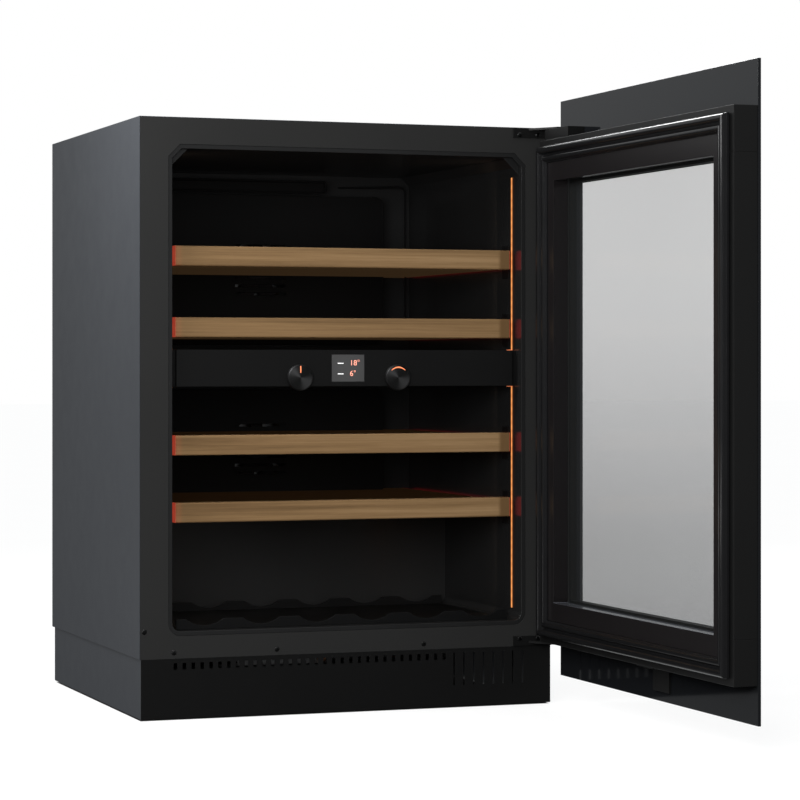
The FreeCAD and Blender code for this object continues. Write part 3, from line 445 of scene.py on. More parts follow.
SLATE = powder_coat("slate_powder_coat", (0.0255, 0.0282, 0.0331), (0.0296, 0.0323, 0.0373), 0.45, 0.16)
FRAME_BLACK = powder_coat("frame_black_paint", (0.0152, 0.0152, 0.015), (0.0178, 0.0178, 0.0175), 0.42, 0.2)
PLINTH_BLACK = powder_coat("plinth_black_paint", grey(0.004), grey(0.0052), 0.55, 0.14)
DOOR_BLACK = powder_coat("door_black_anodising", grey(0.0055), grey(0.0068), 0.4, 0.16, 1800.0)
LINER_BLACK = moulded("liner_black_plastic", (0.009, 0.0091, 0.0092), (0.012, 0.0121, 0.0122), 0.22, 0.35)
BAR_BLACK = moulded("bar_black_plastic", grey(0.0047), grey(0.006), 0.42, 0.16, 3000.0, 0.05)
DUCT_BLACK = moulded("duct_black_plastic", (0.0032, 0.0032, 0.0033), (0.0045, 0.0045, 0.0046), 0.4, 0.22)
TRIM_BLACK = moulded("trim_black_plastic", (0.0062, 0.0054, 0.0057), (0.008, 0.007, 0.0073), 0.24, 0.3)
DOOR_TRIM_BLACK = moulded_trim("door_trim_black_plastic", (0.0062, 0.0054, 0.0057), (0.008, 0.007, 0.0073))
HINGE_BLACK = powder_coat("hinge_black_paint", grey(0.004), grey(0.0055), 0.45, 0.16, 1500.0)
# The aluminium glazing spacer is coloured near black: painted shade for its dark look at the sides and top.
SPACER_PAINTED_SHADE = powder_coat("spacer_painted_shade", grey(0.002), grey(0.003), 0.6, 0.1)
WOOD_FRONT = oiled_wood("oiled_wood_front", 1.0)
WOOD_TRAY = oiled_wood("oiled_wood_tray", 0.25)
AMBER = amber_diffuser("amber_diffuser")
DIGITS = lit("amber_digits", (1.0, 0.36, 0.25), 0.95)
MARKS = lit("white_marks", grey(0.7), 0.9)
INDICATOR = lit("amber_indicator", (0.72, 0.2, 0.085), 1.0)
RUBBER = rubber("black_rubber", (0.0045, 0.0045, 0.0048), 0.14, 0.3)
FOOT_BLACK = rubber("foot_black_nylon", grey(0.012), 0.5, 0.3)
ZINC = bare_metal("zinc_plated_steel", (0.3, 0.3, 0.31), (0.5, 0.5, 0.51), 0.32)
BLACK_ZINC = bare_metal("black_zinc_steel", grey(0.03), grey(0.06), 0.38)
ALUMINIUM = bare_metal("bare_aluminium", (0.55, 0.56, 0.57), (0.72, 0.73, 0.74), 0.3)
COPPER = bare_metal("copper_tube", (0.55, 0.23, 0.12), (0.75, 0.38, 0.22), 0.28, (300.0, 300.0, 300.0))
SHEET_ZINC = galvanised("galvanised_sheet")
GLOSS_BLACK = powder_coat("compressor_gloss_black", grey(0.006), grey(0.009), 0.15, 0.6, 300.0)
PANEL_GLASS = printed_glass("printed_panel_glass")
PANE_GLASS = clear_glass("clear_pane_glass", 0.05)
LENS = smoked_lens("smoked_lens")
BOARD = circuit_board("circuit_board_green")
FOAM = rigid_foam("rigid_foam_cells")


# --- Mesh tools ----------------------------------------------------------------------
def weighed(mesh):
    """The mesh with normals that follow its larger faces, so flat faces stay flat beside rounded edges."""
    carrier = bpy.data.objects.new("carrier", mesh)
    bpy.context.scene.collection.objects.link(carrier)
    carrier.modifiers.new("weigh", "WEIGHTED_NORMAL").keep_sharp = True
    return evaluated(carrier)


def piece(name, mesh, material, body, slot, *replaced):
    """A finished piece: one object at the origin that rides on a body."""
    mesh = weighed(mesh)
    obj = bpy.data.objects.new(name, mesh)
    bpy.context.scene.collection.objects.link(obj)
    mesh.materials.clear()
    mesh.materials.append(material)
    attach(obj, body)
    if replaced:
        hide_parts(*replaced)


def evaluated(obj):
    """The plain mesh that an object's modifiers or curve give; the object is then removed."""
    bpy.context.view_layer.update()
    found = bpy.data.meshes.new_from_object(obj.evaluated_get(bpy.context.evaluated_depsgraph_get()))
    bpy.data.objects.remove(obj)
    return found


def from_bmesh(name, bm, smooth=None):
    """A mesh with outward faces, shaded smooth below an angle in degrees."""
    mesh = bpy.data.meshes.new(name)
    bmesh.ops.recalc_face_normals(bm, faces=bm.faces)
    bm.to_mesh(mesh)
    bm.free()
    if smooth:
        soften_shading(mesh, smooth)
    return mesh


def soften_shading(mesh, degrees):
    """Smooth shading, kept sharp along edges that turn by more than an angle."""
    mesh.shade_smooth()
    bm = bmesh.new()
    bm.from_mesh(mesh)
    limit = math.radians(degrees)
    for edge in bm.edges:
        edge.smooth = len(edge.link_faces) == 2 and edge.calc_face_angle(0.0) < limit
    bm.to_mesh(mesh)
    bm.free()


def rounded_mesh(mesh, width, segments=2):
    """The mesh with its sharp edges rounded off."""
    carrier = bpy.data.objects.new("carrier", mesh)
    bpy.context.scene.collection.objects.link(carrier)
    bevel = carrier.modifiers.new("round", "BEVEL")
    bevel.width = width
    bevel.segments = segments
    bevel.limit_method = "ANGLE"
    bevel.angle_limit = math.radians(40)
    bevel.use_clamp_overlap = True
    result = evaluated(carrier)
    soften_shading(result, 50)
    return result


def softened(node, width, material, body, slot, segments=2):
    """A CAD node's own shape with its edges rounded by a small radius."""
    bm = bmesh.new()
    bm.from_mesh(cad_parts[node].data)
    bmesh.ops.remove_doubles(bm, verts=bm.verts, dist=2e-6)
    bmesh.ops.dissolve_limit(bm, angle_limit=math.radians(0.5), verts=bm.verts, edges=bm.edges)
    mesh = from_bmesh(node + "_soft", bm)
    piece(node + "_finish", rounded_mesh(mesh, width, segments), material, body, slot, node)


def block(low, high, width, segments=2):
    """A box between two corners, with its edges rounded."""
    bm = bmesh.new()
    bmesh.ops.create_cube(bm, size=1.0)
    size = Vector(high) - Vector(low)
    middle = (Vector(high) + Vector(low)) / 2
    bmesh.ops.transform(bm, matrix=Matrix.Translation(middle) @ Matrix.Diagonal((*size, 1.0)), verts=bm.verts)
    return rounded_mesh(from_bmesh("block", bm), width, segments)


def turned(centre, profile, steps=96):
    """A shape turned about an axis along Y; the profile is (radius, y) from back to front."""
    bm = bmesh.new()
    rings = []
    for radius, y in profile:
        if radius == 0:
            rings.append([bm.verts.new((centre.x, y, centre.z))])
            continue
        rings.append([bm.verts.new((centre.x + radius * math.cos(FULL_TURN * i / steps), y,
                                    centre.z + radius * math.sin(FULL_TURN * i / steps)))
                      for i in range(steps)])
    for first, second in zip(rings, rings[1:]):
        for i in range(steps):
            j = (i + 1) % steps
            corners = (first[i % len(first)], first[j % len(first)],
                       second[j % len(second)], second[i % len(second)])
            bm.faces.new(list(dict.fromkeys(corners)))
    return from_bmesh("turned", bm, 35)


def islands(node):
    """The boxes round each separate solid of a CAD node."""
    bm = bmesh.new()
    bm.from_mesh(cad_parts[node].data)
    bmesh.ops.remove_doubles(bm, verts=bm.verts, dist=2e-6)
    left = set(bm.verts)
    boxes = []
    while left:
        stack = [left.pop()]
        low = stack[0].co.copy()
        high = low.copy()
        while stack:
            vert = stack.pop()
            low = Vector(map(min, low, vert.co))
            high = Vector(map(max, high, vert.co))
            for edge in vert.link_edges:
                other = edge.other_vert(vert)
                if other in left:
                    left.remove(other)
                    stack.append(other)
        boxes.append((low, high))
    bm.free()
    return sorted(boxes, key=lambda b: tuple(b[0]))


def joined(name, meshes):
    """Several meshes as one."""
    bm = bmesh.new()
    for mesh in meshes:
        bm.from_mesh(mesh)
    result = bpy.data.meshes.new(name)
    bm.to_mesh(result)
    bm.free()
    for mesh in meshes:
        bpy.data.meshes.remove(mesh)
    return result


def rod(name, points, radius, rounding):
    """A round bar along straight runs, its corners rounded."""
    curve = bpy.data.curves.new(name, "CURVE")
    curve.dimensions = "3D"
    curve.bevel_depth = radius
    curve.bevel_resolution = 4
    curve.use_fill_caps = True
    path = []
    for i, point in enumerate(points):
        point = Vector(point)
        if 0 < i < len(points) - 1:
            before = (Vector(points[i - 1]) - point).normalized() * rounding
            after = (Vector(points[i + 1]) - point).normalized() * rounding
            for step in range(9):
                t = step / 8
                path.append(point + before * (1 - t) ** 2 + after * t ** 2)
        else:
            path.append(point)
    spline = curve.splines.new("POLY")
    spline.points.add(len(path) - 1)
    for target, point in zip(spline.points, path):
        target.co = (*point, 1.0)
    carrier = bpy.data.objects.new(name, curve)
    bpy.context.scene.collection.objects.link(carrier)
    mesh = evaluated(carrier)
    soften_shading(mesh, 40)
    return mesh


# --- Pieces that repeat --------------------------------------------------------------
def geometry_tree(name, sockets):
    """A new tree with these inputs, and the node that gives them."""
    tree = bpy.data.node_groups.new(name, "GeometryNodeTree")
    for label, kind in sockets.items():
        tree.interface.new_socket(name=label, in_out="INPUT", socket_type="NodeSocket" + kind)
    tree.interface.new_socket(name="Geometry", in_out="OUTPUT", socket_type="NodeSocketGeometry")
    graph = Graph(tree)
    return graph, graph.add("NodeGroupInput")


def close_tree(graph, instances, material):
    """End a tree with real geometry in one material."""
    real = graph.add("GeometryNodeRealizeInstances", None, [instances])
    dressed = graph.add("GeometryNodeSetMaterial", None, {"Geometry": real, "Material": material})
    graph.add("NodeGroupOutput", None, [dressed])


def grown(tree, values, mesh=None):
    """The plain mesh that a geometry tree makes from these input values."""
    carrier = bpy.data.objects.new("carrier", mesh or bpy.data.meshes.new("carrier"))
    bpy.context.scene.collection.objects.link(carrier)
    modifier = carrier.modifiers.new("grow", "NODES")
    modifier.node_group = tree
    for item in tree.interface.items_tree:
        if item.in_out == "INPUT" and item.name in values:
            modifier[item.identifier] = values[item.name]
    return evaluated(carrier)


def bar_row_tree():
    """A row of equal bars with rounded long edges, such as slats or fins."""
    graph, given = geometry_tree("bar_row", {"Count": "Int", "First": "Vector", "Step": "Vector",
                                             "Length": "Float", "Width": "Float", "Height": "Float",
                                             "Rounding": "Float", "Material": "Material"})
    half = given.output("Length") * 0.5
    start = graph.combine(0.0 - half, 0.0, 0.0)
    end = graph.combine(half, 0.0, 0.0)
    line = graph.add("GeometryNodeCurvePrimitiveLine", None, {"Start": start, "End": end})
    section = graph.add("GeometryNodeCurvePrimitiveQuadrilateral", None,
                        {"Width": given.output("Width"), "Height": given.output("Height")})
    section = graph.add("GeometryNodeFilletCurve", {"mode": "POLY"},
                        {"Curve": section, "Count": 3, "Radius": given.output("Rounding")})
    bar = graph.add("GeometryNodeCurveToMesh", None, {"Curve": line, "Profile Curve": section,
                                                      "Fill Caps": True})
    points = graph.add("GeometryNodeMeshLine", {"mode": "OFFSET"},
                       {"Count": given.output("Count"), "Start Location": given.output("First"),
                        "Offset": given.output("Step")})
    row = graph.add("GeometryNodeInstanceOnPoints", None, {"Points": points, "Instance": bar})
    close_tree(graph, row, given.output("Material"))
    return graph.tree


def ridge_ring_tree():
    """Fine ridges round a knob's rim, parallel to its axis along Y."""
    graph, given = geometry_tree("ridge_ring", {"Count": "Int", "Radius": "Float", "Centre": "Vector",
                                                "Ridge": "Float", "Length": "Float", "Material": "Material"})
    circle = graph.add("GeometryNodeMeshCircle", None, {"Vertices": given.output("Count"),
                                                        "Radius": given.output("Radius")})
    ridge = graph.add("GeometryNodeMeshCylinder", None,
                      {"Vertices": 8, "Side Segments": 1, "Fill Segments": 1,
                       "Radius": given.output("Ridge"), "Depth": given.output("Length")}, "Mesh")
    ring = graph.add("GeometryNodeInstanceOnPoints", None, {"Points": circle, "Instance": ridge})
    ring = graph.add("GeometryNodeTransform", None, {"Geometry": ring, "Translation": given.output("Centre"),
                                                     "Rotation": (math.pi / 2, 0.0, 0.0)})
    close_tree(graph, ring, given.output("Material"))
    return graph.tree


def screw_tree():
    """A screw head on each point, faced one way and turned at random about its axis."""
    graph, given = geometry_tree("screw_heads", {"Points": "Geometry", "Head": "Object", "Facing": "Rotation",
                                                 "Seed": "Int", "Material": "Material"})
    head = graph.add("GeometryNodeObjectInfo", None, {"Object": given.output("Head")}, "Geometry")
    placed = graph.add("GeometryNodeInstanceOnPoints", None,
                       {"Points": given.output("Points"), "Instance": head,
                        "Rotation": given.output("Facing")})
    spin = graph.add("FunctionNodeRandomValue", {"data_type": "FLOAT"},
                     {2: 0.0, 3: FULL_TURN, "Seed": given.output("Seed")}, 1)
    placed = graph.add("GeometryNodeRotateInstances", None,
                       {"Instances": placed, "Rotation": graph.combine(0.0, 0.0, spin)})
    close_tree(graph, placed, given.output("Material"))
    return graph.tree


BAR_ROW = bar_row_tree()
RIDGE_RING = ridge_ring_tree()
SCREW_HEADS = screw_tree()


def bar_row(count, first, step, length, width, height, rounding, material):
    """A row of bars that lie along X."""
    return grown(BAR_ROW, {"Count": count, "First": first, "Step": step, "Length": length, "Width": width,
                           "Height": height, "Rounding": rounding, "Material": material})


def screw_head():
    """A pan head with a cross recess; it stands on the origin and points along Z."""
    steps = 32
    radius = 3.4 * MM
    height = 1.4 * MM
    bm = bmesh.new()
    rings = []
    for r, z in ((1.0, 0.0), (1.0, 0.25), (0.93, 0.62), (0.75, 0.88), (0.5, 1.0)):
        rings.append([bm.verts.new((radius * r * math.cos(FULL_TURN * i / steps),
                                    radius * r * math.sin(FULL_TURN * i / steps), height * z))
                      for i in range(steps)])
    inner = []
    floor = []
    for i in range(steps):
        angle = FULL_TURN * i / steps
        wing = abs(math.cos(2 * angle)) ** 6
        r = radius * (0.12 + 0.3 * wing)
        inner.append(bm.verts.new((r * math.cos(angle), r * math.sin(angle), height)))
        floor.append(bm.verts.new((0.6 * r * math.cos(angle), 0.6 * r * math.sin(angle), 0.5 * MM)))
    rings += [inner, floor]
    for first, second in zip(rings, rings[1:]):
        for i in range(steps):
            j = (i + 1) % steps
            bm.faces.new((first[i], first[j], second[j], second[i]))
    bm.faces.new(floor)
    bm.faces.new(list(reversed(rings[0])))
    return from_bmesh("screw_head", bm, 35)


def screws(name, points, facing, material, body, slot, seed, *replaced):
    """Screw heads at the points, all facing one way."""
    head = bpy.data.objects.new("head", screw_head())
    bpy.context.scene.collection.objects.link(head)
    seats = bpy.data.meshes.new(name + "_seats")
    seats.from_pydata([tuple(p) for p in points], [], [])
    mesh = grown(SCREW_HEADS, {"Head": head, "Facing": facing, "Seed": seed, "Material": material}, seats)
    bpy.data.objects.remove(head)
    piece(name, mesh, material, body, slot, *replaced)


# --- Cabinet -------------------------------------------------------------------------
CABINET_SHAPES = (
    ("outer_shell", 0.45, SLATE, "painted_steel", 2),
    ("front_frame", 0.5, FRAME_BLACK, "painted_steel", 2),
    ("front_bottom_rail", 0.5, FRAME_BLACK, "painted_steel", 2),
    ("plinth_grille", 0.3, PLINTH_BLACK, "painted_steel", 2),
    ("plinth_sides", 0.3, SLATE, "painted_steel", 2),
    ("inner_liner", 0.7, LINER_BLACK, "dark_plastic", 3),
    ("control_fascia", 0.7, BAR_BLACK, "dark_plastic", 3),
    ("duct_covers", 0.6, DUCT_BLACK, "dark_plastic", 2),
    ("shelf_rails", 0.4, HINGE_BLACK, "galvanised_steel", 2),
    ("bottle_rest", 0.5, DUCT_BLACK, "dark_plastic", 2),
    ("hinge_brackets", 0.4, HINGE_BLACK, "galvanised_steel", 2),
    ("rear_grille", 0.3, SHEET_ZINC, "galvanised_steel", 2),
    ("power_inlet", 0.5, TRIM_BLACK, "dark_plastic", 2),
)


def dress_cabinet():
    """The cabinet's own shapes with their edges rounded and painted."""
    for node, width, material, slot, segments in CABINET_SHAPES:
        softened(node, width * MM, material, "cabinet", slot, segments)
    for name in ("foot_front_left", "foot_front_right", "foot_rear_left", "foot_rear_right"):
        softened(name, 0.5 * MM, FOOT_BLACK, name + "_body", "bush_plastic")


def cabinet_screws():
    """Heads over the frame's screws and the hinge brackets' screws, all facing forwards."""
    points = [Vector(((low.x + high.x) / 2, low.y + 1.4 * MM, (low.z + high.z) / 2))
              for low, high in islands("cabinet_screws")]
    screws("cabinet_screw_heads", points, (math.pi / 2, 0.0, 0.0), BLACK_ZINC, "cabinet", "zinc_screws", 3,
           "cabinet_screws")


def rear_screws():
    """Heads round the back panel and the grille over the machine compartment, all facing back."""
    points = []
    for node, across, up in (("rear_panel", 4, 5), ("rear_grille", 4, 2)):
        low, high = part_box(node)
        edge = 9 * MM
        for i in range(across):
            for k in range(up):
                if 0 < i < across - 1 and 0 < k < up - 1:
                    continue
                x = low.x + edge + (high.x - low.x - 2 * edge) * i / (across - 1)
                z = low.z + edge + (high.z - low.z - 2 * edge) * k / (up - 1)
                points.append(Vector((x, high.y, z)))
    screws("rear_screw_heads", points, (-math.pi / 2, 0.0, 0.0), ZINC, "cabinet", "zinc_screws", 11)


def rear_wall_ribs():
    """Raised lines of the moulded back wall above the air duct's cover."""
    low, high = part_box("duct_covers")
    liner_low, liner_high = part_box("inner_liner")
    wall = liner_high.y - 2 * MM
    y = low.y
    right = high.x
    top = high.z
    left = liner_low.x + 8 * MM
    outer = [(left, y, top + 22 * MM), (right - 93 * MM, y, top + 22 * MM),
             (right - 93 * MM, y, top + 5 * MM), (left, y, top + 5 * MM)]
    plate = block((left, y + 2 * MM, top + 6 * MM), (right - 94 * MM, wall, top + 21 * MM), 2 * MM, 3)
    ledge = rod("rib", outer, 1.3 * MM, 4 * MM)
    foot = top - 215 * MM
    bend = 13 * MM
    frame_rib = rod("rib", [(right - 60 * MM, wall - 3 * MM, top + 16 * MM),
                            (right + 36 * MM, y, top + 17 * MM), (right + 36 * MM, y, foot)], 1.5 * MM, bend)
    cover_rib = rod("rib", [(right - 20 * MM, y, top - 0.5 * MM),
                            (right - 1 * MM, y, top - 0.5 * MM), (right - 1 * MM, y, foot)], 1.2 * MM, bend)
    piece("rear_wall_ribs", joined("ribs", [plate, ledge, frame_rib, cover_rib]), DUCT_BLACK, "cabinet",
          "dark_plastic")


def corner_gussets():
    """Small triangular webs behind the opening's two slanted top corners."""
    low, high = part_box("inner_liner")
    inner_x = high.x - 6 * MM
    inner_z = high.z - 6 * MM
    y = low.y + 9 * MM
    leg = 24 * MM
    meshes = []
    for side in (-1, 1):
        corners = [(side * inner_x, y, inner_z - leg), (side * inner_x, y, inner_z),
                   (side * (inner_x - leg), y, inner_z)]
        bm = bmesh.new()
        front = [bm.verts.new(c) for c in corners]
        back = [bm.verts.new((c[0], y + 3 * MM, c[2])) for c in corners]
        bm.faces.new(front)
        bm.faces.new(list(reversed(back)))
        for i in range(3):
            j = (i + 1) % 3
            bm.faces.new((front[i], front[j], back[j], back[i]))
        meshes.append(rounded_mesh(from_bmesh("gusset", bm), 0.8 * MM))
    piece("corner_gussets", joined("corner_gussets", meshes), LINER_BLACK, "cabinet", "dark_plastic")


# --- Inside --------------------------------------------------------------------------
def dress_shelf(number):
    """A shelf's wooden front, its tray and its two steel runners."""
    body = f"shelf_{number}"
    softened(f"{body}_front", 0.4 * MM, WOOD_FRONT, body, "beech")
    softened(f"{body}_runners", 0.5 * MM, ZINC, body, "zinc_screws")
    bars = islands(f"{body}_tray")
    slats = [b for b in bars if b[1].x - b[0].x > 0.1]
    rails = [b for b in bars if b[1].x - b[0].x <= 0.1]
    slats.sort(key=lambda b: b[0].y)
    first_low, first_high = slats[0]
    step = Vector((0, slats[1][0].y - first_low.y, 0))
    size = first_high - first_low
    row = bar_row(len(slats), (first_low + first_high) / 2, step, size.x, size.y, size.z, 2.2 * MM, WOOD_TRAY)
    sides = [block(low, high, 1.5 * MM, 3) for low, high in rails]
    piece(f"{body}_slats", joined("slats", [row] + sides), WOOD_TRAY, body, "beech", f"{body}_tray")


def knob(node, mark):
    """A turned cap with a ridged rim and a lit mark set in its face."""
    low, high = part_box(node)
    centre = (low + high) / 2
    radius = (high.x - low.x) / 2
    front = low.y
    back = front + 7.7 * MM
    metal = spun_metal(node + "_spun_metal", centre)
    body = node + "_body"
    rim = radius - 0.35 * MM
    profile = [(0.0, high.y), (4 * MM, high.y), (4 * MM, back), (rim - 1.0 * MM, back),
               (rim, back - 0.6 * MM), (rim, front + 1.5 * MM), (rim - 0.25 * MM, front + 1.1 * MM),
               (rim - 0.9 * MM, front + 0.55 * MM), (rim - 1.3 * MM, front + 0.5 * MM),
               (rim - 1.45 * MM, front + 0.85 * MM), (rim - 1.75 * MM, front + 0.85 * MM),
               (rim - 1.9 * MM, front + 0.5 * MM), (rim * 0.6, front + 0.3 * MM), (0.0, front + 0.2 * MM)]
    cap = turned(centre, profile)
    middle = Vector((centre.x, front + 4.4 * MM, centre.z))
    ridges = grown(RIDGE_RING, {"Count": 96, "Radius": rim, "Centre": middle, "Ridge": 0.34 * MM,
                                "Length": 5.4 * MM, "Material": metal})
    piece(node + "_cap", joined(node + "_cap", [cap, ridges]), metal, body, "spun_metal", node)
    piece(node + "_mark", mark(centre, radius, front + 0.02 * MM), INDICATOR, body, "amber_light")


def line_mark(centre, radius, y):
    """A short upright line near the cap's edge."""
    return block((centre.x - 0.75 * MM, y, centre.z + 0.35 * radius),
                 (centre.x + 0.75 * MM, y + 0.9 * MM, centre.z + 0.88 * radius), 0.3 * MM)


def arc_mark(centre, radius, y):
    """An arc over the cap's top, thicker in the middle."""
    bm = bmesh.new()
    steps = 40
    rows = []
    for i in range(steps + 1):
        t = i / steps
        angle = math.radians(45 + 90 * t)
        half = (0.35 + 0.55 * math.sin(math.pi * t)) * MM
        row = []
        for r, depth in ((-1, 0.9), (-1, 0.15), (-0.6, 0.0), (0.6, 0.0), (1, 0.15), (1, 0.9)):
            reach = 0.78 * radius + r * half
            row.append(bm.verts.new((centre.x + reach * math.cos(angle), y + depth * MM,
                                     centre.z + reach * math.sin(angle))))
        rows.append(row)
    for first, second in zip(rows, rows[1:]):
        for k in range(len(first)):
            m = (k + 1) % len(first)
            bm.faces.new((first[k], first[m], second[m], second[k]))
    bm.faces.new(rows[0])
    bm.faces.new(rows[-1])
    return from_bmesh("arc_mark", bm, 60)


def lettering(text, size, x, z, y):
    """Flat digits that face forwards, as a mesh with a little thickness."""
    curve = bpy.data.curves.new("digits", "FONT")
    curve.body = text
    curve.size = size
    curve.extrude = 0.1 * MM
    curve.offset = -0.09 * MM
    carrier = bpy.data.objects.new("digits", curve)
    bpy.context.scene.collection.objects.link(carrier)
    mesh = evaluated(carrier)
    mesh.transform(Matrix.Translation((x, y, z)) @ Matrix.Rotation(math.pi / 2, 4, "X"))
    return mesh


def display():
    """The lens with a number for each zone and a plain mark beside it."""
    softened("display_module", 0.35 * MM, LENS, "cabinet", "display")
    low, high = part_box("display_module")
    width = high.x - low.x
    height = high.z - low.z
    y = low.y - 0.05 * MM
    upper = low.z + 0.6 * height
    lower = low.z + 0.21 * height
    x = low.x + 0.55 * width
    tall = 10.6 * MM
    digits = [lettering("18°", tall, x, upper, y), lettering("6°", tall, x, lower, y)]
    piece("display_digits", joined("digits", digits), DIGITS, "cabinet", "amber_light")
    marks = []
    for z in (upper, lower):
        left = low.x + 0.18 * width
        marks.append(block((left, y, z + 2.2 * MM), (left + 8.5 * MM, y + 0.3 * MM, z + 3.5 * MM), 0.14 * MM))
    piece("display_marks", joined("marks", marks), MARKS, "cabinet", "display")


def lighting():
    """Lit strips, with a short painted glow on the bar's top and bottom edges where each strip meets the bar.
    """
    softened("led_strips", 0.3 * MM, AMBER, "cabinet", "amber_light")
    low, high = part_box("control_fascia")
    strip_low, strip_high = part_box("led_strips")
    y = strip_low.y + 2 * MM
    # These thin lit slabs are painted light: the strips' glow where it falls on the bar.
    returns = []
    for side in (-1, 1):
        for z in (low.z - 0.9 * MM, high.z + 0.5 * MM):
            left, right = sorted((side * (strip_high.x - 8 * MM), side * (strip_high.x - 1.6 * MM)))
            returns.append(block((left, y, z - 0.3 * MM), (right, y + 6 * MM, z + 0.4 * MM), 0.15 * MM))
    piece("light_returns", joined("returns", returns), INDICATOR, "cabinet", "amber_light")


# --- Machine compartment -------------------------------------------------------------
def condenser_fins():
    """Thin plates on the coil between its two end plates."""
    boxes = islands("condenser")
    plates = [b for b in boxes if b[1].x - b[0].x < 0.01]
    left_low, left_high = plates[0]
    gap = plates[-1][0].x - left_high.x
    count = 34
    pitch = gap / (count + 1)
    low = Vector((left_high.x, left_low.y + 1 * MM, left_low.z + 4 * MM))
    size_y = left_high.y - left_low.y - 2 * MM
    size_z = left_high.z - left_low.z - 8 * MM
    first = Vector((low.x + pitch, low.y + size_y / 2, low.z + size_z / 2))
    fins = bar_row(count, first, Vector((pitch, 0, 0)), 0.25 * MM, size_y, size_z, 0.4 * MM, ALUMINIUM)
    piece("condenser_fins", fins, ALUMINIUM, "cabinet", "bare_aluminium")


# --- Door ----------------------------------------------------------------------------
def ring_of(profile, low, high, base):
    """A mitred ring round the door; the profile is (inset, height) and height points inwards."""
    bm = bmesh.new()
    loops = []
    for inset, height in profile:
        x = base - height
        loops.append([bm.verts.new((x, y, z)) for y, z in (
            (low.y + inset, low.z + inset), (high.y - inset, low.z + inset),
            (high.y - inset, high.z - inset), (low.y + inset, high.z - inset))])
    for first, second in zip(loops, loops[1:] + loops[:1]):
        for i in range(4):
            j = (i + 1) % 4
            bm.faces.new((first[i], first[j], second[j], second[i]))
    return bm


def bead(inset, height, half_width, rise):
    """Half an ellipse, as nine (inset, height) points."""
    angles = [math.pi * (1 - i / 8) for i in range(9)]
    return [(inset + half_width * math.cos(a), height + rise * math.sin(a)) for a in angles]


def gasket():
    """The magnetic seal: a high outer bead, a groove and a lower inner bead."""
    low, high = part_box("door_gasket")
    base = high.x
    section = [(0.0, 0.0), (0.0, 3.6), (0.5, 4.2)]
    section += bead(5.4, 6.2, 4.6, 3.7)
    section += [(10.6, 4.4), (11.4, 3.2), (12.4, 3.0), (13.2, 3.6)]
    section += bead(17.2, 4.6, 3.6, 2.3)
    section += [(21.6, 3.2), (22.6, 2.4), (23.0, 1.4), (23.0, 0.0)]
    profile = [(inset * MM, height * MM) for inset, height in section]
    mesh = from_bmesh("gasket", ring_of(profile, low, high, base), 32)
    piece("gasket_seal", mesh, RUBBER, "door", "rubber", "door_gasket")


def front_glass():
    """The full-height panel with ground edges."""
    low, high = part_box("front_glass_panel")
    piece("front_glass", block(low, high, 0.5 * MM, 3), PANEL_GLASS, "door", "printed_glass",
          "front_glass_panel")


def door_screws():
    """Screw heads on the hinge block and under the panel bracket."""
    up, down = [], []
    half_way = 0.4
    sunk = 1.4 * MM
    for low, high in islands("door_screws"):
        middle = (low + high) / 2
        if middle.z > half_way:
            up.append(Vector((middle.x, middle.y, high.z - sunk)))
        else:
            down.append(Vector((middle.x, middle.y, low.z + sunk)))
    screws("hinge_block_screw_heads", up, (0.0, 0.0, 0.0), BLACK_ZINC, "door", "zinc_screws", 5,
           "door_screws")
    screws("bracket_screw_heads", down, (math.pi, 0.0, 0.0), BLACK_ZINC, "door", "zinc_screws", 7)


def door_frame():
    """Two rails and two stiles, rounded at their edges so that the joints show as fine seams."""
    low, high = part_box("door_frame")
    rail = 56 * MM
    stile = 50 * MM
    round_edge = 0.5 * MM
    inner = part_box("door_inner_trim")[0].x + 1.6 * MM
    meshes = []
    for bottom, top in ((low.z, low.z + rail), (high.z - rail, high.z)):
        meshes.append(block((inner, low.y, bottom), (high.x, high.y, top), round_edge))
    for left, right in ((low.y, low.y + stile), (high.y - stile, high.y)):
        meshes.append(block((inner, left, low.z + rail), (high.x, right, high.z - rail), round_edge))
    piece("door_frame_finish", joined("door_frame_finish", meshes), DOOR_BLACK, "door", "painted_steel",
          "door_frame")


def dress_door():
    """Everything that swings with the door."""
    door_frame()
    softened("door_inner_trim", 0.5 * MM, DOOR_TRIM_BLACK, "door", "dark_plastic", 3)
    softened("door_hinge_block", 0.9 * MM, HINGE_BLACK, "door", "dark_plastic", 3)
    softened("panel_bracket", 0.5 * MM, HINGE_BLACK, "door", "galvanised_steel")
    gasket()
    front_glass()
    # The spacer is bare aluminium, coloured near black as painted shade.
    softened("glazing_spacer", 0.4 * MM, SPACER_PAINTED_SHADE, "door", "bare_aluminium")
    door_screws()


# --- CAD pieces that keep their shape ------------------------------------------------
KEPT = {
    SHEET_ZINC: ("rear_panel",),
    PLINTH_BLACK: ("cabinet_bottom",),
    # The galvanised base pan is given black paint: painted shade behind the plinth's slots.
    HINGE_BLACK: ("base_pan",),
    FOAM: ("insulation_foam",),
    DUCT_BLACK: ("zone_divider", "fan_housings"),
    BOARD: ("control_board",),
    ALUMINIUM: ("evaporators",),
    GLOSS_BLACK: ("compressor",),
    RUBBER: ("compressor_grommets",),
    COPPER: ("condenser", "refrigerant_pipes"),
    ZINC: ("hinge_pins",),
    FOOT_BLACK: ("hinge_bushes",),
    PANE_GLASS: ("inner_pane",),
    TRIM_BLACK: ("upper_fan_rotor", "lower_fan_rotor", "condenser_fan_rotor"),
}


def paint_kept():
    for material, nodes in KEPT.items():
        for node in nodes:
            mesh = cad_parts[node].data
            mesh.materials.clear()
            mesh.materials.append(material)


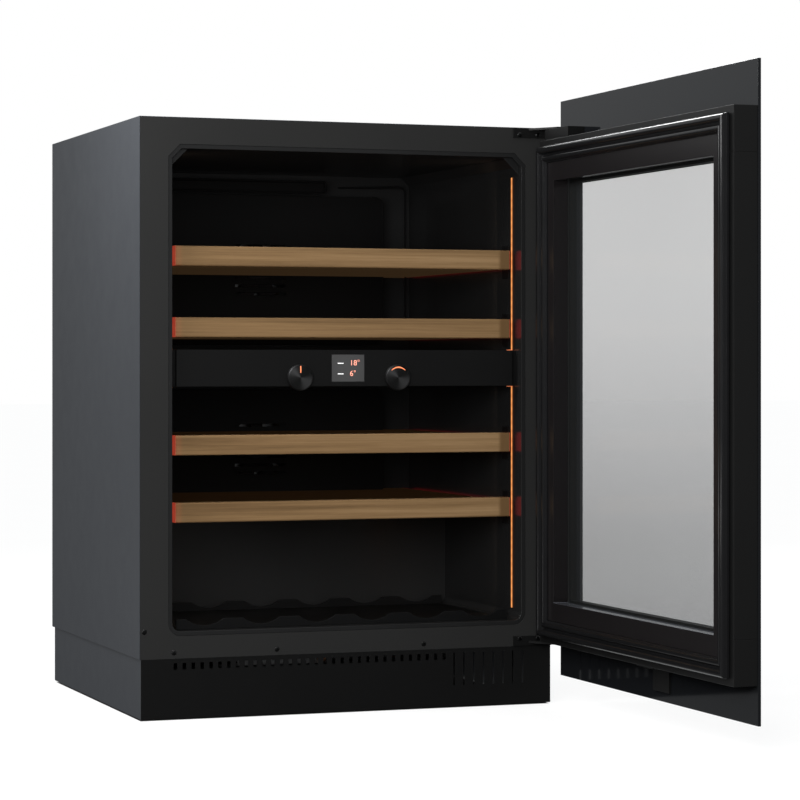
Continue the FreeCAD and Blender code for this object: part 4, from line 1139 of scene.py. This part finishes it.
# --- Stage ---------------------------------------------------------------------------
def stage():
    """A wide pale floor with a painted shadow: dark only where the cabinet covers it."""
    bm = bmesh.new()
    bmesh.ops.create_grid(bm, x_segments=1, y_segments=1, size=30.0)
    mesh = bpy.data.meshes.new("floor")
    bm.to_mesh(mesh)
    bm.free()
    floor = bpy.data.objects.new("floor", mesh)
    bpy.context.scene.collection.objects.link(floor)
    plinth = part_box("plinth_grille")[0].y

    def paint(g):
        grain = g.noise(g.place(), 3.0)
        pale = g.mix(grain, grey(0.24), grey(0.26))
        x, y, _ = g.axes()
        # under is a painted shadow beneath the cabinet: dark colour and no glow there.
        under = g.rise(y, plinth + 1 * MM, plinth + 5 * MM) * (1 - g.rise(y, 0.23, 0.25))
        under = under * (1 - g.rise(-1 * x, 0.294, 0.296)) * (1 - g.rise(x, 0.309, 0.311))
        under = under * (1 - g.rise(x, 0.294, 0.296) * (1 - g.rise(y, -0.23, -0.22)))
        return {
            "Base Color": g.mix(under, pale, grey(0.05)),
            "Roughness": 0.9 + 0.05 * grain,
            "Emission Color": g.mix(under, grey(0.78), grey(0.0)),
        }
    mesh.materials.append(finish("pale_floor", paint, Specular_IOR_Level=0.0, Emission_Strength=1.0))
    floor.visible_glossy = False
    floor.visible_diffuse = False


def studio_light():
    """A white background that lights the cooler softly, most of all from above."""
    world = bpy.data.worlds.new("studio")
    bpy.context.scene.world = world
    world.use_nodes = True
    world.node_tree.nodes.clear()
    g = Graph(world.node_tree)
    _, y, z = g.split(g.add("ShaderNodeTexCoord", output="Generated"))
    up = g.rise(z, -0.25, 0.52)
    ahead = g.rise(-1 * y, -0.2, 0.9)
    behind = g.rise(y, 0.3, 0.8) * g.rise(-1 * z, 0.3, 0.46)
    level = (0.14 + 0.86 * up) * (1 - 0.5 * ahead) + 0.6 * behind
    seen = g.add("ShaderNodeLightPath", output="Is Camera Ray")
    light = g.mix(seen, g.mix(level, grey(0.0), (0.97, 0.99, 1.0)), grey(1.0))
    background = g.add("ShaderNodeBackground", None, {"Color": light, "Strength": 1.0})
    g.add("ShaderNodeOutputWorld", None, {"Surface": background})


def soft_light(name, place, aim, size, power, colour=grey(1.0), mirrored=True):
    """A flat lamp that stands at one point and faces another."""
    data = bpy.data.lights.new(name, "AREA")
    data.shape = "RECTANGLE"
    data.size, data.size_y = size
    data.energy = power
    data.color = colour
    lamp = bpy.data.objects.new(name, data)
    lamp.location = place
    lamp.rotation_euler = (Vector(aim) - Vector(place)).to_track_quat("-Z", "Y").to_euler()
    lamp.visible_camera = False
    lamp.visible_glossy = mirrored
    bpy.context.scene.collection.objects.link(lamp)


def strip_lamps():
    """The light that the lit strips throw into each zone."""
    low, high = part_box("led_strips")
    bar_low, bar_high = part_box("control_fascia")
    y = high.y + 45 * MM
    amber = (1.0, 0.74, 0.54)
    for zone, (bottom, top) in {"lower": (low.z, bar_low.z), "upper": (bar_high.z, high.z)}.items():
        z = (bottom + top) / 2
        for side, label in ((-1, "left"), (1, "right")):
            x = side * (high.x - 3 * MM)
            soft_light(f"{zone}_{label}_strip_lamp", (x, y, z), (0.0, y + 100 * MM, z),
                       (4 * MM, top - bottom), 0.2, amber, False)


def studio_lamps():
    """Lamps on the left side, low down on it, in front and behind."""
    soft_light("side_light", (-0.66, -0.34, 1.05), (-0.3, -0.2, 0.78), (0.3, 0.3), 6.4)
    soft_light("low_light", (-0.95, 0.0, 0.08), (-0.3, 0.0, 0.08), (1.2, 0.15), 1.7)
    soft_light("front_light", (-0.88, -2.0, 0.7), (-0.15, -0.25, 0.52), (1.1, 0.6), 44.0, mirrored=False)
    soft_light("back_light", (0.9, 2.2, 2.35), (0.3, -0.7, 0.85), (1.0, 0.6), 24.0)


def camera():
    """A level camera with a long lens, to the front left of the cooler."""
    data = bpy.data.cameras.new("camera")
    data.lens = 126.36
    data.sensor_width = 36.0
    data.shift_y = -0.0433
    data.clip_end = 100.0
    view = bpy.data.objects.new("camera", data)
    view.location = (-1.25098, -3.88295, 0.47392)
    view.rotation_euler = (math.pi / 2, 0.0, math.radians(-20.032))
    bpy.context.scene.collection.objects.link(view)
    bpy.context.scene.camera = view


def main():
    dress_cabinet()
    cabinet_screws()
    rear_screws()
    rear_wall_ribs()
    corner_gussets()
    for number in SHELVES:
        dress_shelf(number)
    knob("power_knob", line_mark)
    knob("temperature_knob", arc_mark)
    display()
    lighting()
    condenser_fins()
    dress_door()
    paint_kept()
    stage()
    studio_light()
    strip_lamps()
    studio_lamps()
    camera()
    bpy.context.scene.view_settings.view_transform = "Standard"


main()
